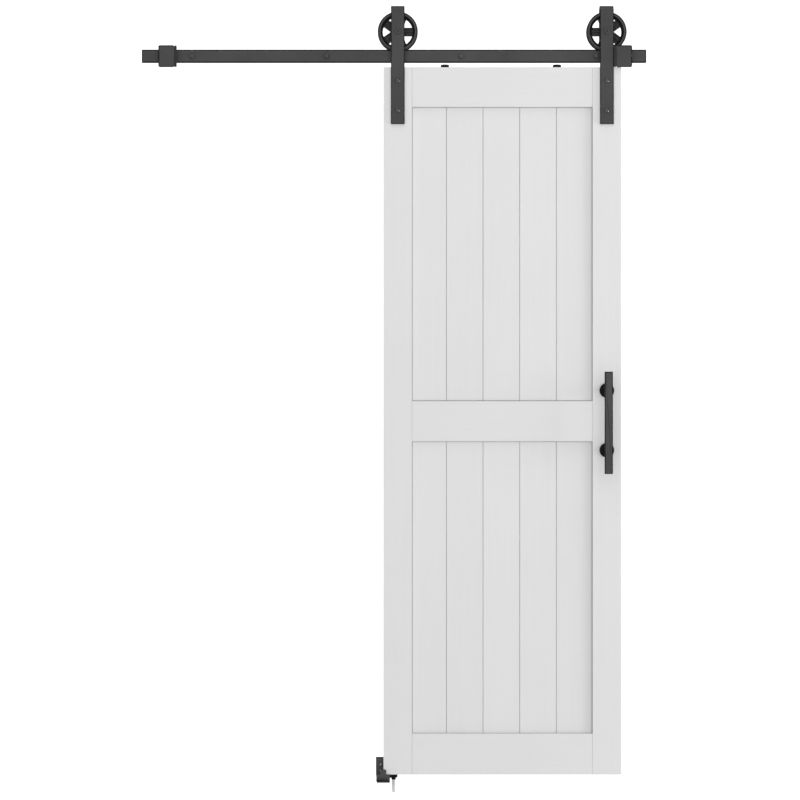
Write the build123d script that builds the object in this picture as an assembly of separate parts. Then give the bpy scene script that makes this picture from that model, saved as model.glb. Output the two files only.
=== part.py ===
from build123d import *
import math
import os

# A sliding barn door on a flat wall track, closed against its right-hand stop.
# Sizes are in millimetres. X runs to the right along the track, Y runs into the wall and Z runs up.
# The origin is on the wall's face, straight behind the middle of the track.

# Track and its wall fixings
track_length = 1524.0
track_height = 40.0
track_thickness = 6.0
track_fixing_end_inset = 152.4
track_fixing_count = 4
track_hole_diameter = 9.0
spacer_length = 35.0
spacer_diameter = 20.0
lag_shank_diameter = 8.0
lag_thread_diameter = 7.2
lag_depth_in_wall = 58.0
lag_point_length = 9.0
lag_head_across_flats = 13.0
lag_head_height = 5.3
lag_crown_diameter = 14.2
lag_crown_bevel = 1.3
lag_washer_diameter = 18.0
lag_washer_thickness = 1.6

# Rollers
tread_radius = 53.0
flange_depth = 7.5
wheel_width = 20.0
track_side_play = 1.0
rolling_gap = 0.3
spoke_count = 5
spoke_width = 24.8
spoke_web_thickness = 6.0
spoke_rib_width = 3.4
spoke_rib_thickness = 11.0
rim_ring_width = 5.5
rim_inner_radius = 45.3
rim_face_recess = 2.6
rim_corner = 1.2
flange_flare = 0.5
window_corner_radius = 3.6
hub_radius = 19.0
hub_length = 17.0
hub_lip_radius = 13.0
bearing_diameter = 30.0
bearing_width = 9.0
bearing_seal_recess = 0.5
bearing_ring_wall = 2.5

# Axle of each roller
axle_diameter = 10.0
axle_head_diameter = 20.0
axle_head_height = 1.4
axle_head_bevel = 0.5
axle_socket_across_flats = 6.0
axle_socket_depth = 4.0
axle_nut_across_flats = 17.0
axle_nut_height = 5.0
axle_overhang = 1.5
bush_diameter = 14.0
running_clearance = 0.05
end_float = 0.25

# Hangers
strap_width = 41.0
strap_thickness = 6.0
strap_edge_ease = 0.7
wheel_side_gap = 2.5
strap_drop_on_door = 171.7
strap_top_above_axle = 78.7
rear_leg_below_axle = 27.0
bolt_from_strap_end = 40.0
bolt_spacing = 90.0
bolt_diameter = 8.0
bolt_head_diameter = 14.0
bolt_head_height = 4.2
bolt_socket_across_flats = 5.0
bolt_socket_depth = 2.4
bolt_hole_clearance = 0.25
bolt_washer_diameter = 22.0
bolt_washer_thickness = 1.6
bolt_nut_across_flats = 13.0
bolt_nut_height = 5.0
bolt_nut_cap_height = 2.0
bolt_nut_cap_diameter = 12.0
bolt_end_in_nut = 4.5

# Door slab
door_width = 716.8
door_height = 2133.6
door_thickness = 38.0
door_drop_below_track = 14.8
stile_width = 86.5
top_rail_height = 120.4
mid_rail_height = 122.0
bottom_rail_height = 124.0
mid_rail_centre_below_top = 1067.7
frame_edge_ease = 0.8
housing_depth = 10.0
housing_clearance = 0.1
plank_thickness = 22.0
plank_count = 5
plank_width = 110.7
plank_row_shift = -2.5
plank_gap = 0.5
plank_vee = 1.6
tongue_length = 6.0
tongue_thickness = 7.0
tongue_clearance = 0.3
dowel_diameter = 10.0
dowel_length = 70.0
dowel_end_clearance = 0.5
dowel_spacing = 60.0

# Anti-jump discs on the door's top edge
disc_diameter = 25.0
disc_height = 8.5
disc_spacing = 339.0
disc_bevel = 0.6
disc_row_shift = -3.2
disc_screw_diameter = 5.0
disc_screw_length = 50.0
disc_screw_head_diameter = 9.6
disc_screw_socket_across_flats = 2.5

# Pull handle
handle_length = 305.6
handle_width = 24.4
handle_thickness = 6.0
handle_projection = 58.0
handle_post_spacing = 180.0
handle_post_diameter = 14.0
handle_spigot_diameter = 8.0
handle_spigot_depth = 3.0
handle_centre_below_top = 1065.0
handle_bar_below_posts = 7.0
handle_edge_ease = 0.8
rosette_diameter = 44.0
rosette_thickness = 5.0
rosette_dome = 2.5
handle_bolt_diameter = 6.0
handle_bolt_engagement = 14.0
handle_bolt_hole_spare = 2.0
handle_bolt_head_diameter = 12.0
handle_bolt_head_height = 3.2
handle_bolt_socket_across_flats = 3.0
handle_bolt_washer_diameter = 18.0
handle_bolt_washer_thickness = 1.4

# End stops
left_stop_from_track_end = 52.1
right_stop_from_track_end = 44.8
stop_length = 44.6
stop_front_thickness = 7.5
stop_lip_above_track = 9.3
stop_lip_below_track = 15.5
stop_grip_length = 26.0
stop_channel_clearance = 0.15
stop_corner = 3.0
stop_edge_ease = 1.2
bumper_length = 10.2
bumper_depth = 6.7
bumper_shorter_each_end = 0.8
bumper_to_wheel_gap = 3.5
rest_gap = 0.3
clamp_plate_thickness = 6.0
clamp_screw_diameter = 4.0
clamp_screw_head_diameter = 7.0
clamp_screw_head_height = 2.6
clamp_screw_socket_across_flats = 2.5
clamp_screw_grip = 16.0
clamp_screw_spacing = 56.0

# Floor guide
guide_width = 41.0
guide_centre_past_door_edge = 1.1
guide_floor_gap = 20.2
guide_sheet = 4.0
guide_back_height = 64.7
guide_front_reach = 23.5
guide_lip_clearance = 2.0
guide_pad_clearance = 0.4
guide_lip_overlap = 15.6
guide_lip_setback = 11.4
guide_lip_inset = 12.2
guide_lip_corner = 3.0
guide_foot_corner = 6.0
guide_block_height = 17.0
guide_foot_height = 21.0
guide_slot_from_left = 14.4
guide_slot_above_floor = 5.8
guide_slot_height = 2.6
guide_slot_depth = 2.0
guide_pad_width = 18.0
guide_pad_height = 37.0
guide_pad_edge_inset = 1.5
ear_length = 23.0
ear_width = 22.0
ear_thickness = 8.0
ear_screw_from_block = 11.2
guide_screw_diameter = 5.0
guide_screw_thread_diameter = 4.2
guide_screw_depth = 32.0
guide_screw_head_diameter = 9.0
guide_screw_head_height = 2.6
guide_screw_socket_across_flats = 2.5
guide_screw_from_left = 13.5
guide_screw_spacing = 18.0
guide_upper_screw_from_top = 24.0
collar_diameter = 13.5
plug_diameter = 9.6
plug_straight_length = 20.0
plug_tip_diameter = 7.6
plug_rim_height = 2.4
plug_rim_overhang = 0.4
plug_length = 36.4
floor_screw_length_in_plug = 28.0

# Shared by all the wood screws: the tip's share of the thread, and the point's length in diameters
screw_tip_share = 0.25
screw_point_ratio = 1.5

# Cutting and joining solids run this far past the faces they cross
overrun = 1.0

# Places worked out from the sizes above
track_back = -spacer_length
track_front = track_back - track_thickness
track_mid = (track_back + track_front) / 2
track_top = track_height / 2
plate_gap = wheel_width + 2 * wheel_side_gap
strap_inner = track_mid - plate_gap / 2
strap_front = strap_inner - strap_thickness
rear_leg_inner = track_mid + plate_gap / 2
rear_leg_outer = rear_leg_inner + strap_thickness
axle_z = track_top + rolling_gap + tread_radius
flange_radius = tread_radius + flange_depth
strap_top = axle_z + strap_top_above_axle

door_front = strap_inner
door_back = door_front + door_thickness
door_middle_y = (door_front + door_back) / 2
door_top = -track_height / 2 - door_drop_below_track
door_bottom = door_top - door_height
strap_bottom = door_top - strap_drop_on_door

right_bumper_face = track_length / 2 - right_stop_from_track_end - stop_length - bumper_length
left_bumper_face = -track_length / 2 + left_stop_from_track_end + stop_length + bumper_length
right_hanger_x = right_bumper_face - rest_gap - strap_width / 2
door_right = right_hanger_x + stile_width / 2
door_left = door_right - door_width
left_hanger_x = door_left + stile_width / 2
door_centre_x = (door_left + door_right) / 2
slide_travel = left_hanger_x - strap_width / 2 - rest_gap - left_bumper_face

panel_left = door_left + stile_width
panel_right = door_right - stile_width
mid_rail_z = door_top - mid_rail_centre_below_top
mid_rail_top = mid_rail_z + mid_rail_height / 2
mid_rail_bottom = mid_rail_z - mid_rail_height / 2
top_rail_bottom = door_top - top_rail_height
bottom_rail_top = door_bottom + bottom_rail_height
tongue_depth = housing_depth - housing_clearance

floor_z = door_bottom - guide_floor_gap
guide_centre_x = door_left - guide_centre_past_door_edge
guide_left = guide_centre_x - guide_width / 2
guide_right = guide_centre_x + guide_width / 2
guide_lip_back = door_front - guide_lip_clearance
guide_lip_front = guide_lip_back - guide_sheet
guide_front = door_front - guide_front_reach


def block(x0, x1, y0, y1, z0, z1):
    """A box between two opposite corners."""
    middle = Pos((x0 + x1) / 2, (y0 + y1) / 2, (z0 + z1) / 2)
    return middle * Box(x1 - x0, y1 - y0, z1 - z0)


def rod(diameter, low, high):
    """A round bar on the local Z axis, from one height to another."""
    return Pos(0, 0, (low + high) / 2) * Cylinder(diameter / 2, high - low)


def taper(low_diameter, high_diameter, low, high):
    """A round tapering bar on the local Z axis."""
    return Pos(0, 0, (low + high) / 2) * Cone(low_diameter / 2, high_diameter / 2, high - low)


def hexagon(across_flats, low, high):
    """A six-sided bar on the local Z axis."""
    outline = RegularPolygon(across_flats / 2, 6, major_radius=False)
    return Pos(0, 0, low) * extrude(outline, high - low)


def dome(diameter, height):
    """A shallow ball cap standing on local z = 0."""
    ball_radius = (diameter**2 / 4 + height**2) / (2 * height)
    ball = Pos(0, 0, height - ball_radius) * Sphere(ball_radius)
    return ball & rod(2 * diameter, 0, 2 * height)


def turned(points):
    """A body of revolution about local Z from (radius, height) points."""
    outline = Polyline([(radius, 0, height) for radius, height in points], close=True)
    return revolve(make_face(outline), Axis.Z)


def facing(x, y, z):
    """Puts a piece made on local Z at a place, with its local +Z turned away from the wall."""
    return Pos(x, y, z) * Rot(90, 0, 0)


def side_edges(piece):
    """The edges round a piece's left and right faces."""
    faces = piece.faces().sort_by(Axis.X)
    return faces[0].edges() + faces[-1].edges()


def front_edges(piece):
    """The edges round a piece's front face."""
    return piece.faces().sort_by(Axis.Y)[0].edges()


def group(pieces):
    """Separate like pieces kept together under one name."""
    return Compound(children=list(pieces))


def track_fixing_places():
    """Where the track is screwed to the wall, from left to right."""
    span = track_length - 2 * track_fixing_end_inset
    spacing = span / (track_fixing_count - 1)
    return [-span / 2 + k * spacing for k in range(track_fixing_count)]


def track_bar():
    """The flat steel track, drilled for its wall screws."""
    bar = block(-track_length / 2, track_length / 2, track_front, track_back, -track_top, track_top)
    bar = chamfer(bar.edges().filter_by(Axis.X), strap_edge_ease)
    for x in track_fixing_places():
        bar -= facing(x, track_mid, 0) * rod(track_hole_diameter, -track_thickness, track_thickness)
    return bar


def wall_spacer(x):
    """A turned sleeve that holds the track off the wall."""
    sleeve = rod(spacer_diameter, 0, spacer_length) - rod(track_hole_diameter, 0, spacer_length)
    return facing(x, 0, 0) * sleeve


def lag_screw(x):
    """A hexagon-headed wood screw, through washer, track and spacer into the wall."""
    seat = spacer_length + track_thickness + lag_washer_thickness
    thread_end = -(lag_depth_in_wall - lag_point_length)
    screw = rod(lag_shank_diameter, 0, seat)
    screw += rod(lag_thread_diameter, thread_end, 0)
    tip = screw_tip_share * lag_thread_diameter
    screw += taper(tip, lag_thread_diameter, -lag_depth_in_wall, thread_end)
    crown = rod(lag_crown_diameter, seat, seat + lag_head_height)
    crown = chamfer(crown.edges().sort_by(Axis.Z)[-1], lag_crown_bevel)
    screw += hexagon(lag_head_across_flats, seat, seat + lag_head_height) & crown
    return facing(x, 0, 0) * screw


def lag_washer(x):
    """A flat washer under a lag screw's head."""
    washer = rod(lag_washer_diameter, 0, lag_washer_thickness)
    washer -= rod(track_hole_diameter, 0, lag_washer_thickness)
    return facing(x, track_front, 0) * washer


def rim():
    """The grooved rim: raised outer rings on both faces, and a groove that straddles the track."""
    half = wheel_width / 2
    face = half - rim_face_recess
    groove = track_thickness / 2 + track_side_play
    ring_inner = flange_radius - rim_corner - rim_ring_width
    right_side = [
        (rim_inner_radius, face - rim_corner),
        (rim_inner_radius + rim_corner, face),
        (ring_inner - rim_corner, face),
        (ring_inner, half),
        (flange_radius - rim_corner, half),
        (flange_radius, half - rim_corner),
        (flange_radius, groove + flange_flare),
        (tread_radius, groove),
    ]
    left_side = [(radius, -height) for radius, height in reversed(right_side)]
    return turned(right_side + left_side)


def spoked_web():
    """The thin web with its five rounded windows, and three ribs along each spoke."""
    turn = 360 / spoke_count
    windows = Circle(rim_inner_radius) - Circle(hub_radius - overrun)
    spoke = Pos(rim_inner_radius, 0) * Rectangle(2 * rim_inner_radius, spoke_width)
    for k in range(spoke_count):
        windows -= Rot(0, 0, k * turn) * spoke
    windows = fillet(windows.vertices(), window_corner_radius)
    web = rod(2 * (rim_inner_radius + overrun), -spoke_web_thickness / 2, spoke_web_thickness / 2)
    web -= Pos(0, 0, -spoke_web_thickness) * extrude(windows, 2 * spoke_web_thickness)
    rib_start = hub_radius - 2 * overrun
    rib_end = rim_inner_radius + overrun
    offset = (spoke_width - spoke_rib_width) / 2
    for k in range(spoke_count):
        for y in (-offset, 0, offset):
            rib = Box(rib_end - rib_start, spoke_rib_width, spoke_rib_thickness)
            web += Rot(0, 0, k * turn) * Pos((rib_start + rib_end) / 2, y, 0) * rib
    return web


def wheel(x, phase):
    """One cast spoked wheel, with its bearing seat open to the back."""
    half_hub = hub_length / 2
    body = rim() + spoked_web() + rod(2 * hub_radius, -half_hub, half_hub)
    body -= rod(bearing_diameter, -half_hub, bearing_width / 2)
    body -= rod(2 * hub_lip_radius, -half_hub, half_hub)
    return facing(x, track_mid, axle_z) * Rot(0, 0, phase) * body


def bearing(x):
    """A sealed ball bearing: rings with a shallow seal between them on each face."""
    half = bearing_width / 2
    bore = axle_diameter + 2 * running_clearance
    body = rod(bearing_diameter, -half, half) - rod(bore, -half, half)
    seal_outer = bearing_diameter - 2 * bearing_ring_wall
    seal_inner = axle_diameter + 2 * bearing_ring_wall
    seal = rod(seal_outer, 0, bearing_seal_recess) - rod(seal_inner, 0, bearing_seal_recess)
    body -= Pos(0, 0, half - bearing_seal_recess) * seal
    body -= Pos(0, 0, -half) * seal
    return facing(x, track_mid, axle_z) * body


def axle(x):
    """The axle bolt: a low round head with a hexagon socket, across both legs of the hanger."""
    front = track_mid - strap_front
    back = rear_leg_outer - track_mid + axle_nut_height + axle_overhang
    bolt = rod(axle_diameter, -back, front)
    head = rod(axle_head_diameter, front, front + axle_head_height)
    bolt += chamfer(head.edges().sort_by(Axis.Z)[-1], axle_head_bevel)
    socket_floor = front + axle_head_height - axle_socket_depth
    bolt -= hexagon(axle_socket_across_flats, socket_floor, front + 2 * axle_head_height)
    return facing(x, track_mid, axle_z) * bolt


def axle_nut(x):
    """The thin nut behind the hanger's rear leg."""
    nut = hexagon(axle_nut_across_flats, -axle_nut_height, 0)
    nut -= rod(axle_diameter + 2 * running_clearance, -axle_nut_height, 0)
    return facing(x, rear_leg_outer, axle_z) * nut


def axle_bush(x, side):
    """A spacing bush between the bearing and one leg of the hanger; side is 1 at the front."""
    length = (plate_gap - bearing_width) / 2 - end_float
    bush = rod(bush_diameter, 0, length) - rod(axle_diameter + 2 * running_clearance, 0, length)
    back_end = strap_inner + length if side > 0 else rear_leg_inner
    return facing(x, back_end, axle_z) * bush


def hanger_bolt_heights():
    """The heights of the two bolts that hold a hanger to the door."""
    lower = strap_bottom + bolt_from_strap_end
    return [lower, lower + bolt_spacing]


def hanger_strap(x):
    """One flat steel strap bent over the roller: a long front leg on the door and a short rear leg."""
    half = strap_width / 2
    outer = plate_gap / 2 + strap_thickness
    bend_z = strap_top - outer
    strap = block(x - half, x + half, strap_front, strap_inner, strap_bottom, bend_z)
    rear_end = axle_z - rear_leg_below_axle
    strap += block(x - half, x + half, rear_leg_inner, rear_leg_outer, rear_end, bend_z)
    tube = Cylinder(outer, strap_width) - Cylinder(plate_gap / 2, strap_width)
    upper_half = block(x - half, x + half, strap_front, rear_leg_outer, bend_z, strap_top)
    strap += (Pos(x, track_mid, bend_z) * Rot(0, 90, 0) * tube) & upper_half
    strap = chamfer(side_edges(strap), strap_edge_ease)
    reach = plate_gap + 4 * strap_thickness
    strap -= facing(x, track_mid, axle_z) * rod(axle_diameter + 2 * running_clearance, -reach, reach)
    for z in hanger_bolt_heights():
        strap -= facing(x, strap_inner, z) * rod(bolt_hole(), -overrun, strap_thickness + overrun)
    return strap


def bolt_hole():
    """Diameter of the clearance holes for the hanger bolts."""
    return bolt_diameter + 2 * bolt_hole_clearance


def hanger_bolt(x, z):
    """A button-head bolt, through strap and door into a cap nut."""
    nut_seat = -(door_thickness + bolt_washer_thickness)
    bolt = rod(bolt_diameter, nut_seat - bolt_end_in_nut, strap_thickness)
    head = Pos(0, 0, strap_thickness) * dome(bolt_head_diameter, bolt_head_height)
    socket_floor = strap_thickness + bolt_head_height - bolt_socket_depth
    bolt += head - hexagon(bolt_socket_across_flats, socket_floor, socket_floor + bolt_head_height)
    return facing(x, door_front, z) * bolt


def bolt_washer(x, z):
    """A washer behind the door under a cap nut."""
    washer = rod(bolt_washer_diameter, -bolt_washer_thickness, 0)
    washer -= rod(bolt_hole(), -bolt_washer_thickness, 0)
    return facing(x, door_back, z) * washer


def bolt_nut(x, z):
    """A cap nut behind the door."""
    nut = hexagon(bolt_nut_across_flats, -bolt_nut_height, 0)
    cap = dome(bolt_nut_cap_diameter, bolt_nut_cap_height)
    nut += Pos(0, 0, -bolt_nut_height) * Rot(180, 0, 0) * cap
    nut -= rod(bolt_diameter + 2 * running_clearance, -bolt_nut_height, 0)
    return facing(x, door_back + bolt_washer_thickness, z) * nut


def housing(x0, x1, z0, z1):
    """The slot down the middle of a frame member that takes the planks."""
    half = plank_thickness / 2 + housing_clearance
    return block(x0, x1, door_middle_y - half, door_middle_y + half, z0, z1)


def dowel_places():
    """Centres of the dowels: two across each joint of a rail with a stile."""
    rails = [
        (door_top + top_rail_bottom) / 2,
        mid_rail_z,
        (door_bottom + bottom_rail_top) / 2,
    ]
    return [
        (x, z + side * dowel_spacing / 2)
        for x in (panel_left, panel_right)
        for z in rails
        for side in (-1, 1)
    ]


def dowel(x, z, diameter, length):
    """A round peg along X, or the hole for one."""
    return Pos(x, door_middle_y, z) * Rot(0, 90, 0) * Cylinder(diameter / 2, length)


def drill_dowels(member):
    """Bores the dowel holes that reach a frame member."""
    for x, z in dowel_places():
        member -= dowel(x, z, dowel_diameter + 2 * running_clearance,
                        dowel_length + 2 * dowel_end_clearance)
    return member


def stile(x0, x1, housing_x0, housing_x1, hanger_x):
    """One upright of the frame, housed for the planks and drilled for dowels and hanger bolts."""
    post = block(x0, x1, door_front, door_back, door_bottom, door_top)
    post = chamfer(post.edges(), frame_edge_ease)
    post -= housing(housing_x0, housing_x1, door_bottom - overrun, door_top + overrun)
    post = drill_dowels(post)
    for z in hanger_bolt_heights():
        post -= facing(hanger_x, door_middle_y, z) * rod(bolt_hole(), -door_thickness, door_thickness)
    return post


def left_stile():
    """The stile on the opening side."""
    housing_end = panel_left + overrun
    return stile(door_left, panel_left, panel_left - housing_depth, housing_end, left_hanger_x)


def right_stile():
    """The stile that carries the handle."""
    housing_start = panel_right - overrun
    post = stile(panel_right, door_right, housing_start, panel_right + housing_depth, right_hanger_x)
    for z in handle_post_heights():
        hole = rod(handle_bolt_diameter + 2 * bolt_hole_clearance, -door_thickness, door_thickness)
        post -= facing(right_hanger_x, door_middle_y, z) * hole
    return post


def rail(z0, z1, housed_below, housed_above):
    """A cross member with stub tenons in the stiles' housings, slotted where planks meet it."""
    bar = block(panel_left, panel_right, door_front, door_back, z0, z1)
    bar = chamfer(bar.edges().filter_by(Axis.X), frame_edge_ease)
    half = plank_thickness / 2
    left_end = panel_left - tongue_depth
    right_end = panel_right + tongue_depth
    bar += block(left_end, right_end, door_middle_y - half, door_middle_y + half, z0, z1)
    slot_ends = (left_end - overrun, right_end + overrun)
    if housed_below:
        bar -= housing(*slot_ends, z0 - overrun, z0 + housing_depth)
    if housed_above:
        bar -= housing(*slot_ends, z1 - housing_depth, z1 + overrun)
    return drill_dowels(bar)


def disc_places():
    """Where the two anti-jump discs stand along the door."""
    middle = door_centre_x + disc_row_shift
    return [middle - disc_spacing / 2, middle + disc_spacing / 2]


def top_rail():
    """The top rail, with pilot holes for the disc screws."""
    bar = rail(top_rail_bottom, door_top, True, False)
    depth = disc_screw_length - disc_height
    for x in disc_places():
        pilot = rod(disc_screw_diameter + 2 * running_clearance, -depth - overrun, overrun)
        bar -= Pos(x, door_middle_y, door_top) * pilot
    return bar


def plank_joints():
    """Where neighbouring planks meet, from left to right."""
    middle = (panel_left + panel_right) / 2 + plank_row_shift
    return [middle + (k - plank_count / 2) * plank_width for k in range(1, plank_count)]


def plank(index, z0, z1):
    """One tongued board, vee-jointed to its neighbours and housed in the frame elsewhere."""
    joints = plank_joints()
    first = index == 0
    last = index == plank_count - 1
    x0 = panel_left - tongue_depth if first else joints[index - 1] + plank_gap / 2
    x1 = panel_right + tongue_depth if last else joints[index] - plank_gap / 2
    half = plank_thickness / 2
    front = door_middle_y - half
    back = door_middle_y + half
    board = block(x0, x1, front, back, z0 - tongue_depth, z1 + tongue_depth)
    uprights = board.edges().filter_by(Axis.Z).sort_by(Axis.X)
    vees = ([] if first else uprights[:2]) + ([] if last else uprights[2:])
    board = chamfer(vees, plank_vee)
    if not last:
        tongue = tongue_thickness / 2
        board += block(x1 - overrun, x1 + tongue_length, door_middle_y - tongue, door_middle_y + tongue,
                       z0 - tongue_depth, z1 + tongue_depth)
    if not first:
        slot = tongue_thickness / 2 + tongue_clearance
        board -= block(x0 - overrun, x0 - plank_gap + tongue_length + tongue_clearance,
                       door_middle_y - slot, door_middle_y + slot,
                       z0 - housing_depth - overrun, z1 + housing_depth + overrun)
    return board


def jump_disc(x):
    """A disc on the door's top edge, under the track, so that the rollers can't lift off it."""
    disc = rod(disc_diameter, 0, disc_height)
    disc = chamfer(disc.edges().sort_by(Axis.Z)[-1], disc_bevel)
    disc -= rod(disc_screw_diameter + 2 * running_clearance, 0, disc_height)
    sink = (disc_screw_head_diameter - disc_screw_diameter) / 2
    disc -= taper(disc_screw_diameter, disc_screw_head_diameter + 2 * running_clearance,
                  disc_height - sink, disc_height)
    return Pos(x, door_middle_y, door_top) * disc


def jump_disc_screw(x):
    """A countersunk wood screw through a disc into the top rail."""
    sink = (disc_screw_head_diameter - disc_screw_diameter) / 2
    screw_end = disc_height - disc_screw_length
    point = screw_point_ratio * disc_screw_diameter
    screw = rod(disc_screw_diameter, screw_end + point, disc_height - sink)
    tip = screw_tip_share * disc_screw_diameter
    screw += taper(tip, disc_screw_diameter, screw_end, screw_end + point)
    head = taper(disc_screw_diameter, disc_screw_head_diameter, disc_height - sink, disc_height)
    socket = hexagon(disc_screw_socket_across_flats, disc_height - sink / 2, disc_height + overrun)
    return Pos(x, door_middle_y, door_top) * (screw + head - socket)


def handle_post_heights():
    """The heights of the handle's two posts."""
    centre = door_top - handle_centre_below_top
    return [centre - handle_post_spacing / 2, centre + handle_post_spacing / 2]


def handle_bar():
    """The flat bar of the pull, with blind holes behind for the posts."""
    centre_z = door_top - handle_centre_below_top - handle_bar_below_posts
    x = right_hanger_x
    front = door_front - handle_projection
    back = front + handle_thickness
    bar = block(x - handle_width / 2, x + handle_width / 2, front, back,
                centre_z - handle_length / 2, centre_z + handle_length / 2)
    bar = chamfer(bar.edges(), handle_edge_ease)
    for z in handle_post_heights():
        socket = rod(handle_spigot_diameter + 2 * running_clearance, -overrun, handle_spigot_depth)
        bar -= facing(x, back, z) * socket
    return bar


def handle_post(z):
    """A round post from the rosette to the bar, drilled behind for its bolt."""
    length = handle_projection - handle_thickness - rosette_thickness
    post = rod(handle_post_diameter, 0, length)
    post += rod(handle_spigot_diameter, length, length + handle_spigot_depth - running_clearance)
    hole_depth = handle_bolt_engagement + handle_bolt_hole_spare - rosette_thickness
    post -= rod(handle_bolt_diameter + 2 * running_clearance, 0, hole_depth)
    return facing(right_hanger_x, door_front - rosette_thickness, z) * post


def rosette(z):
    """The round domed plate between a post and the door, with a flat seat for the post."""
    rim_thickness = rosette_thickness - rosette_dome
    plate = rod(rosette_diameter, 0, rim_thickness)
    plate += Pos(0, 0, rim_thickness) * dome(rosette_diameter, rosette_dome)
    plate += rod(handle_post_diameter, rim_thickness, rosette_thickness)
    plate -= rod(handle_bolt_diameter + 2 * bolt_hole_clearance, 0, rosette_thickness)
    return facing(right_hanger_x, door_front, z) * plate


def handle_bolt(z):
    """A bolt from behind the door, through the stile into a post."""
    seat = -(door_thickness + handle_bolt_washer_thickness)
    bolt = rod(handle_bolt_diameter, seat, handle_bolt_engagement)
    head = Pos(0, 0, seat) * Rot(180, 0, 0) * dome(handle_bolt_head_diameter, handle_bolt_head_height)
    socket_floor = seat - handle_bolt_head_height / 2
    socket = hexagon(handle_bolt_socket_across_flats, seat - handle_bolt_head_height, socket_floor)
    return facing(right_hanger_x, door_front, z) * (bolt + head - socket)


def handle_washer(z):
    """A washer behind the door under a handle bolt."""
    thick = handle_bolt_washer_thickness
    washer = rod(handle_bolt_washer_diameter, -thick, 0)
    washer -= rod(handle_bolt_diameter + 2 * bolt_hole_clearance, -thick, 0)
    return facing(right_hanger_x, door_back, z) * washer


def bumper_face(side):
    """Where a stop's bumper ends towards the door; side is -1 for the left stop and 1 for the right."""
    return left_bumper_face if side < 0 else right_bumper_face


def stop_block(side, start, end, y0, y1, z0, z1):
    """A box of a stop, measured outwards from its bumper's face."""
    face = bumper_face(side)
    near = face + side * start
    far = face + side * end
    return block(min(near, far), max(near, far), y0, y1, z0, z1)


def stop_front_face():
    """How far forward the stops' front blocks stand, clear of the rollers."""
    return track_mid - wheel_width / 2 - bumper_to_wheel_gap - stop_front_thickness


def clamp_screw_places(side):
    """The two screws that clamp a stop on the track, one above it and one below."""
    x = bumper_face(side) + side * (bumper_length + stop_length - stop_grip_length / 2)
    middle = (stop_lip_above_track - stop_lip_below_track) / 2
    return [(x, middle - clamp_screw_spacing / 2), (x, middle + clamp_screw_spacing / 2)]


def stop_body(side):
    """The steel block of an end stop. Its inner half is thin, because the roller passes behind it."""
    low = -track_top - stop_lip_below_track
    high = track_top + stop_lip_above_track
    front = stop_front_face()
    outer_end = bumper_length + stop_length
    grip_start = outer_end - stop_grip_length
    body = stop_block(side, bumper_length, outer_end, front, front + stop_front_thickness, low, high)
    body = chamfer(body.edges().filter_by(Axis.Y), stop_corner)
    body = chamfer(front_edges(body), stop_edge_ease)
    body += stop_block(side, grip_start, outer_end - stop_edge_ease,
                       front + stop_front_thickness, track_back, low + stop_corner, high - stop_corner)
    play = stop_channel_clearance
    body -= stop_block(side, grip_start - overrun, outer_end + overrun,
                       track_front - play, track_back + overrun, -track_top - play, track_top + play)
    for x, z in clamp_screw_places(side):
        grip = rod(clamp_screw_diameter + 2 * running_clearance, -overrun, clamp_screw_grip + overrun)
        body -= facing(x, track_back, z) * grip
    return body


def stop_bumper(side):
    """The rubber pad on a stop's inner end, which the hanger strap meets."""
    front = stop_front_face()
    low = -track_top - stop_lip_below_track + bumper_shorter_each_end
    high = track_top + stop_lip_above_track - bumper_shorter_each_end
    pad = stop_block(side, 0, bumper_length, front + stop_front_thickness - bumper_depth,
                     front + stop_front_thickness, low, high)
    return chamfer(pad.edges().filter_by(Axis.Y), stop_edge_ease)


def clamp_plate(side):
    """The plate behind the track that a stop is clamped against."""
    low = -track_top - stop_lip_below_track + stop_corner
    high = track_top + stop_lip_above_track - stop_corner
    outer_end = bumper_length + stop_length - stop_edge_ease
    grip_start = bumper_length + stop_length - stop_grip_length
    plate = stop_block(side, grip_start, outer_end,
                       track_back, track_back + clamp_plate_thickness, low, high)
    plate = chamfer(plate.edges().filter_by(Axis.Y), stop_edge_ease)
    for x, z in clamp_screw_places(side):
        hole = rod(clamp_screw_diameter + 2 * bolt_hole_clearance,
                   -clamp_plate_thickness - overrun, overrun)
        plate -= facing(x, track_back, z) * hole
    return plate


def clamp_screw(x, z):
    """A socket screw from behind, through the clamp plate into the stop."""
    seat = -clamp_plate_thickness
    screw = rod(clamp_screw_diameter, seat, clamp_screw_grip)
    head = rod(clamp_screw_head_diameter, seat - clamp_screw_head_height, seat)
    socket_floor = seat - clamp_screw_head_height / 2
    socket = hexagon(clamp_screw_socket_across_flats, seat - clamp_screw_head_height, socket_floor)
    return facing(x, track_back, z) * (screw + head - socket)


def guide_screw_places():
    """The two screws that hold the guide's back plate to the wall."""
    x = guide_left + guide_screw_from_left
    top = floor_z + guide_back_height - guide_upper_screw_from_top
    return [(x, top - guide_screw_spacing), (x, top)]


def ear_place():
    """Where the floor screw goes down through the guide's ear."""
    return (guide_right + ear_screw_from_block, door_middle_y)


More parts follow.
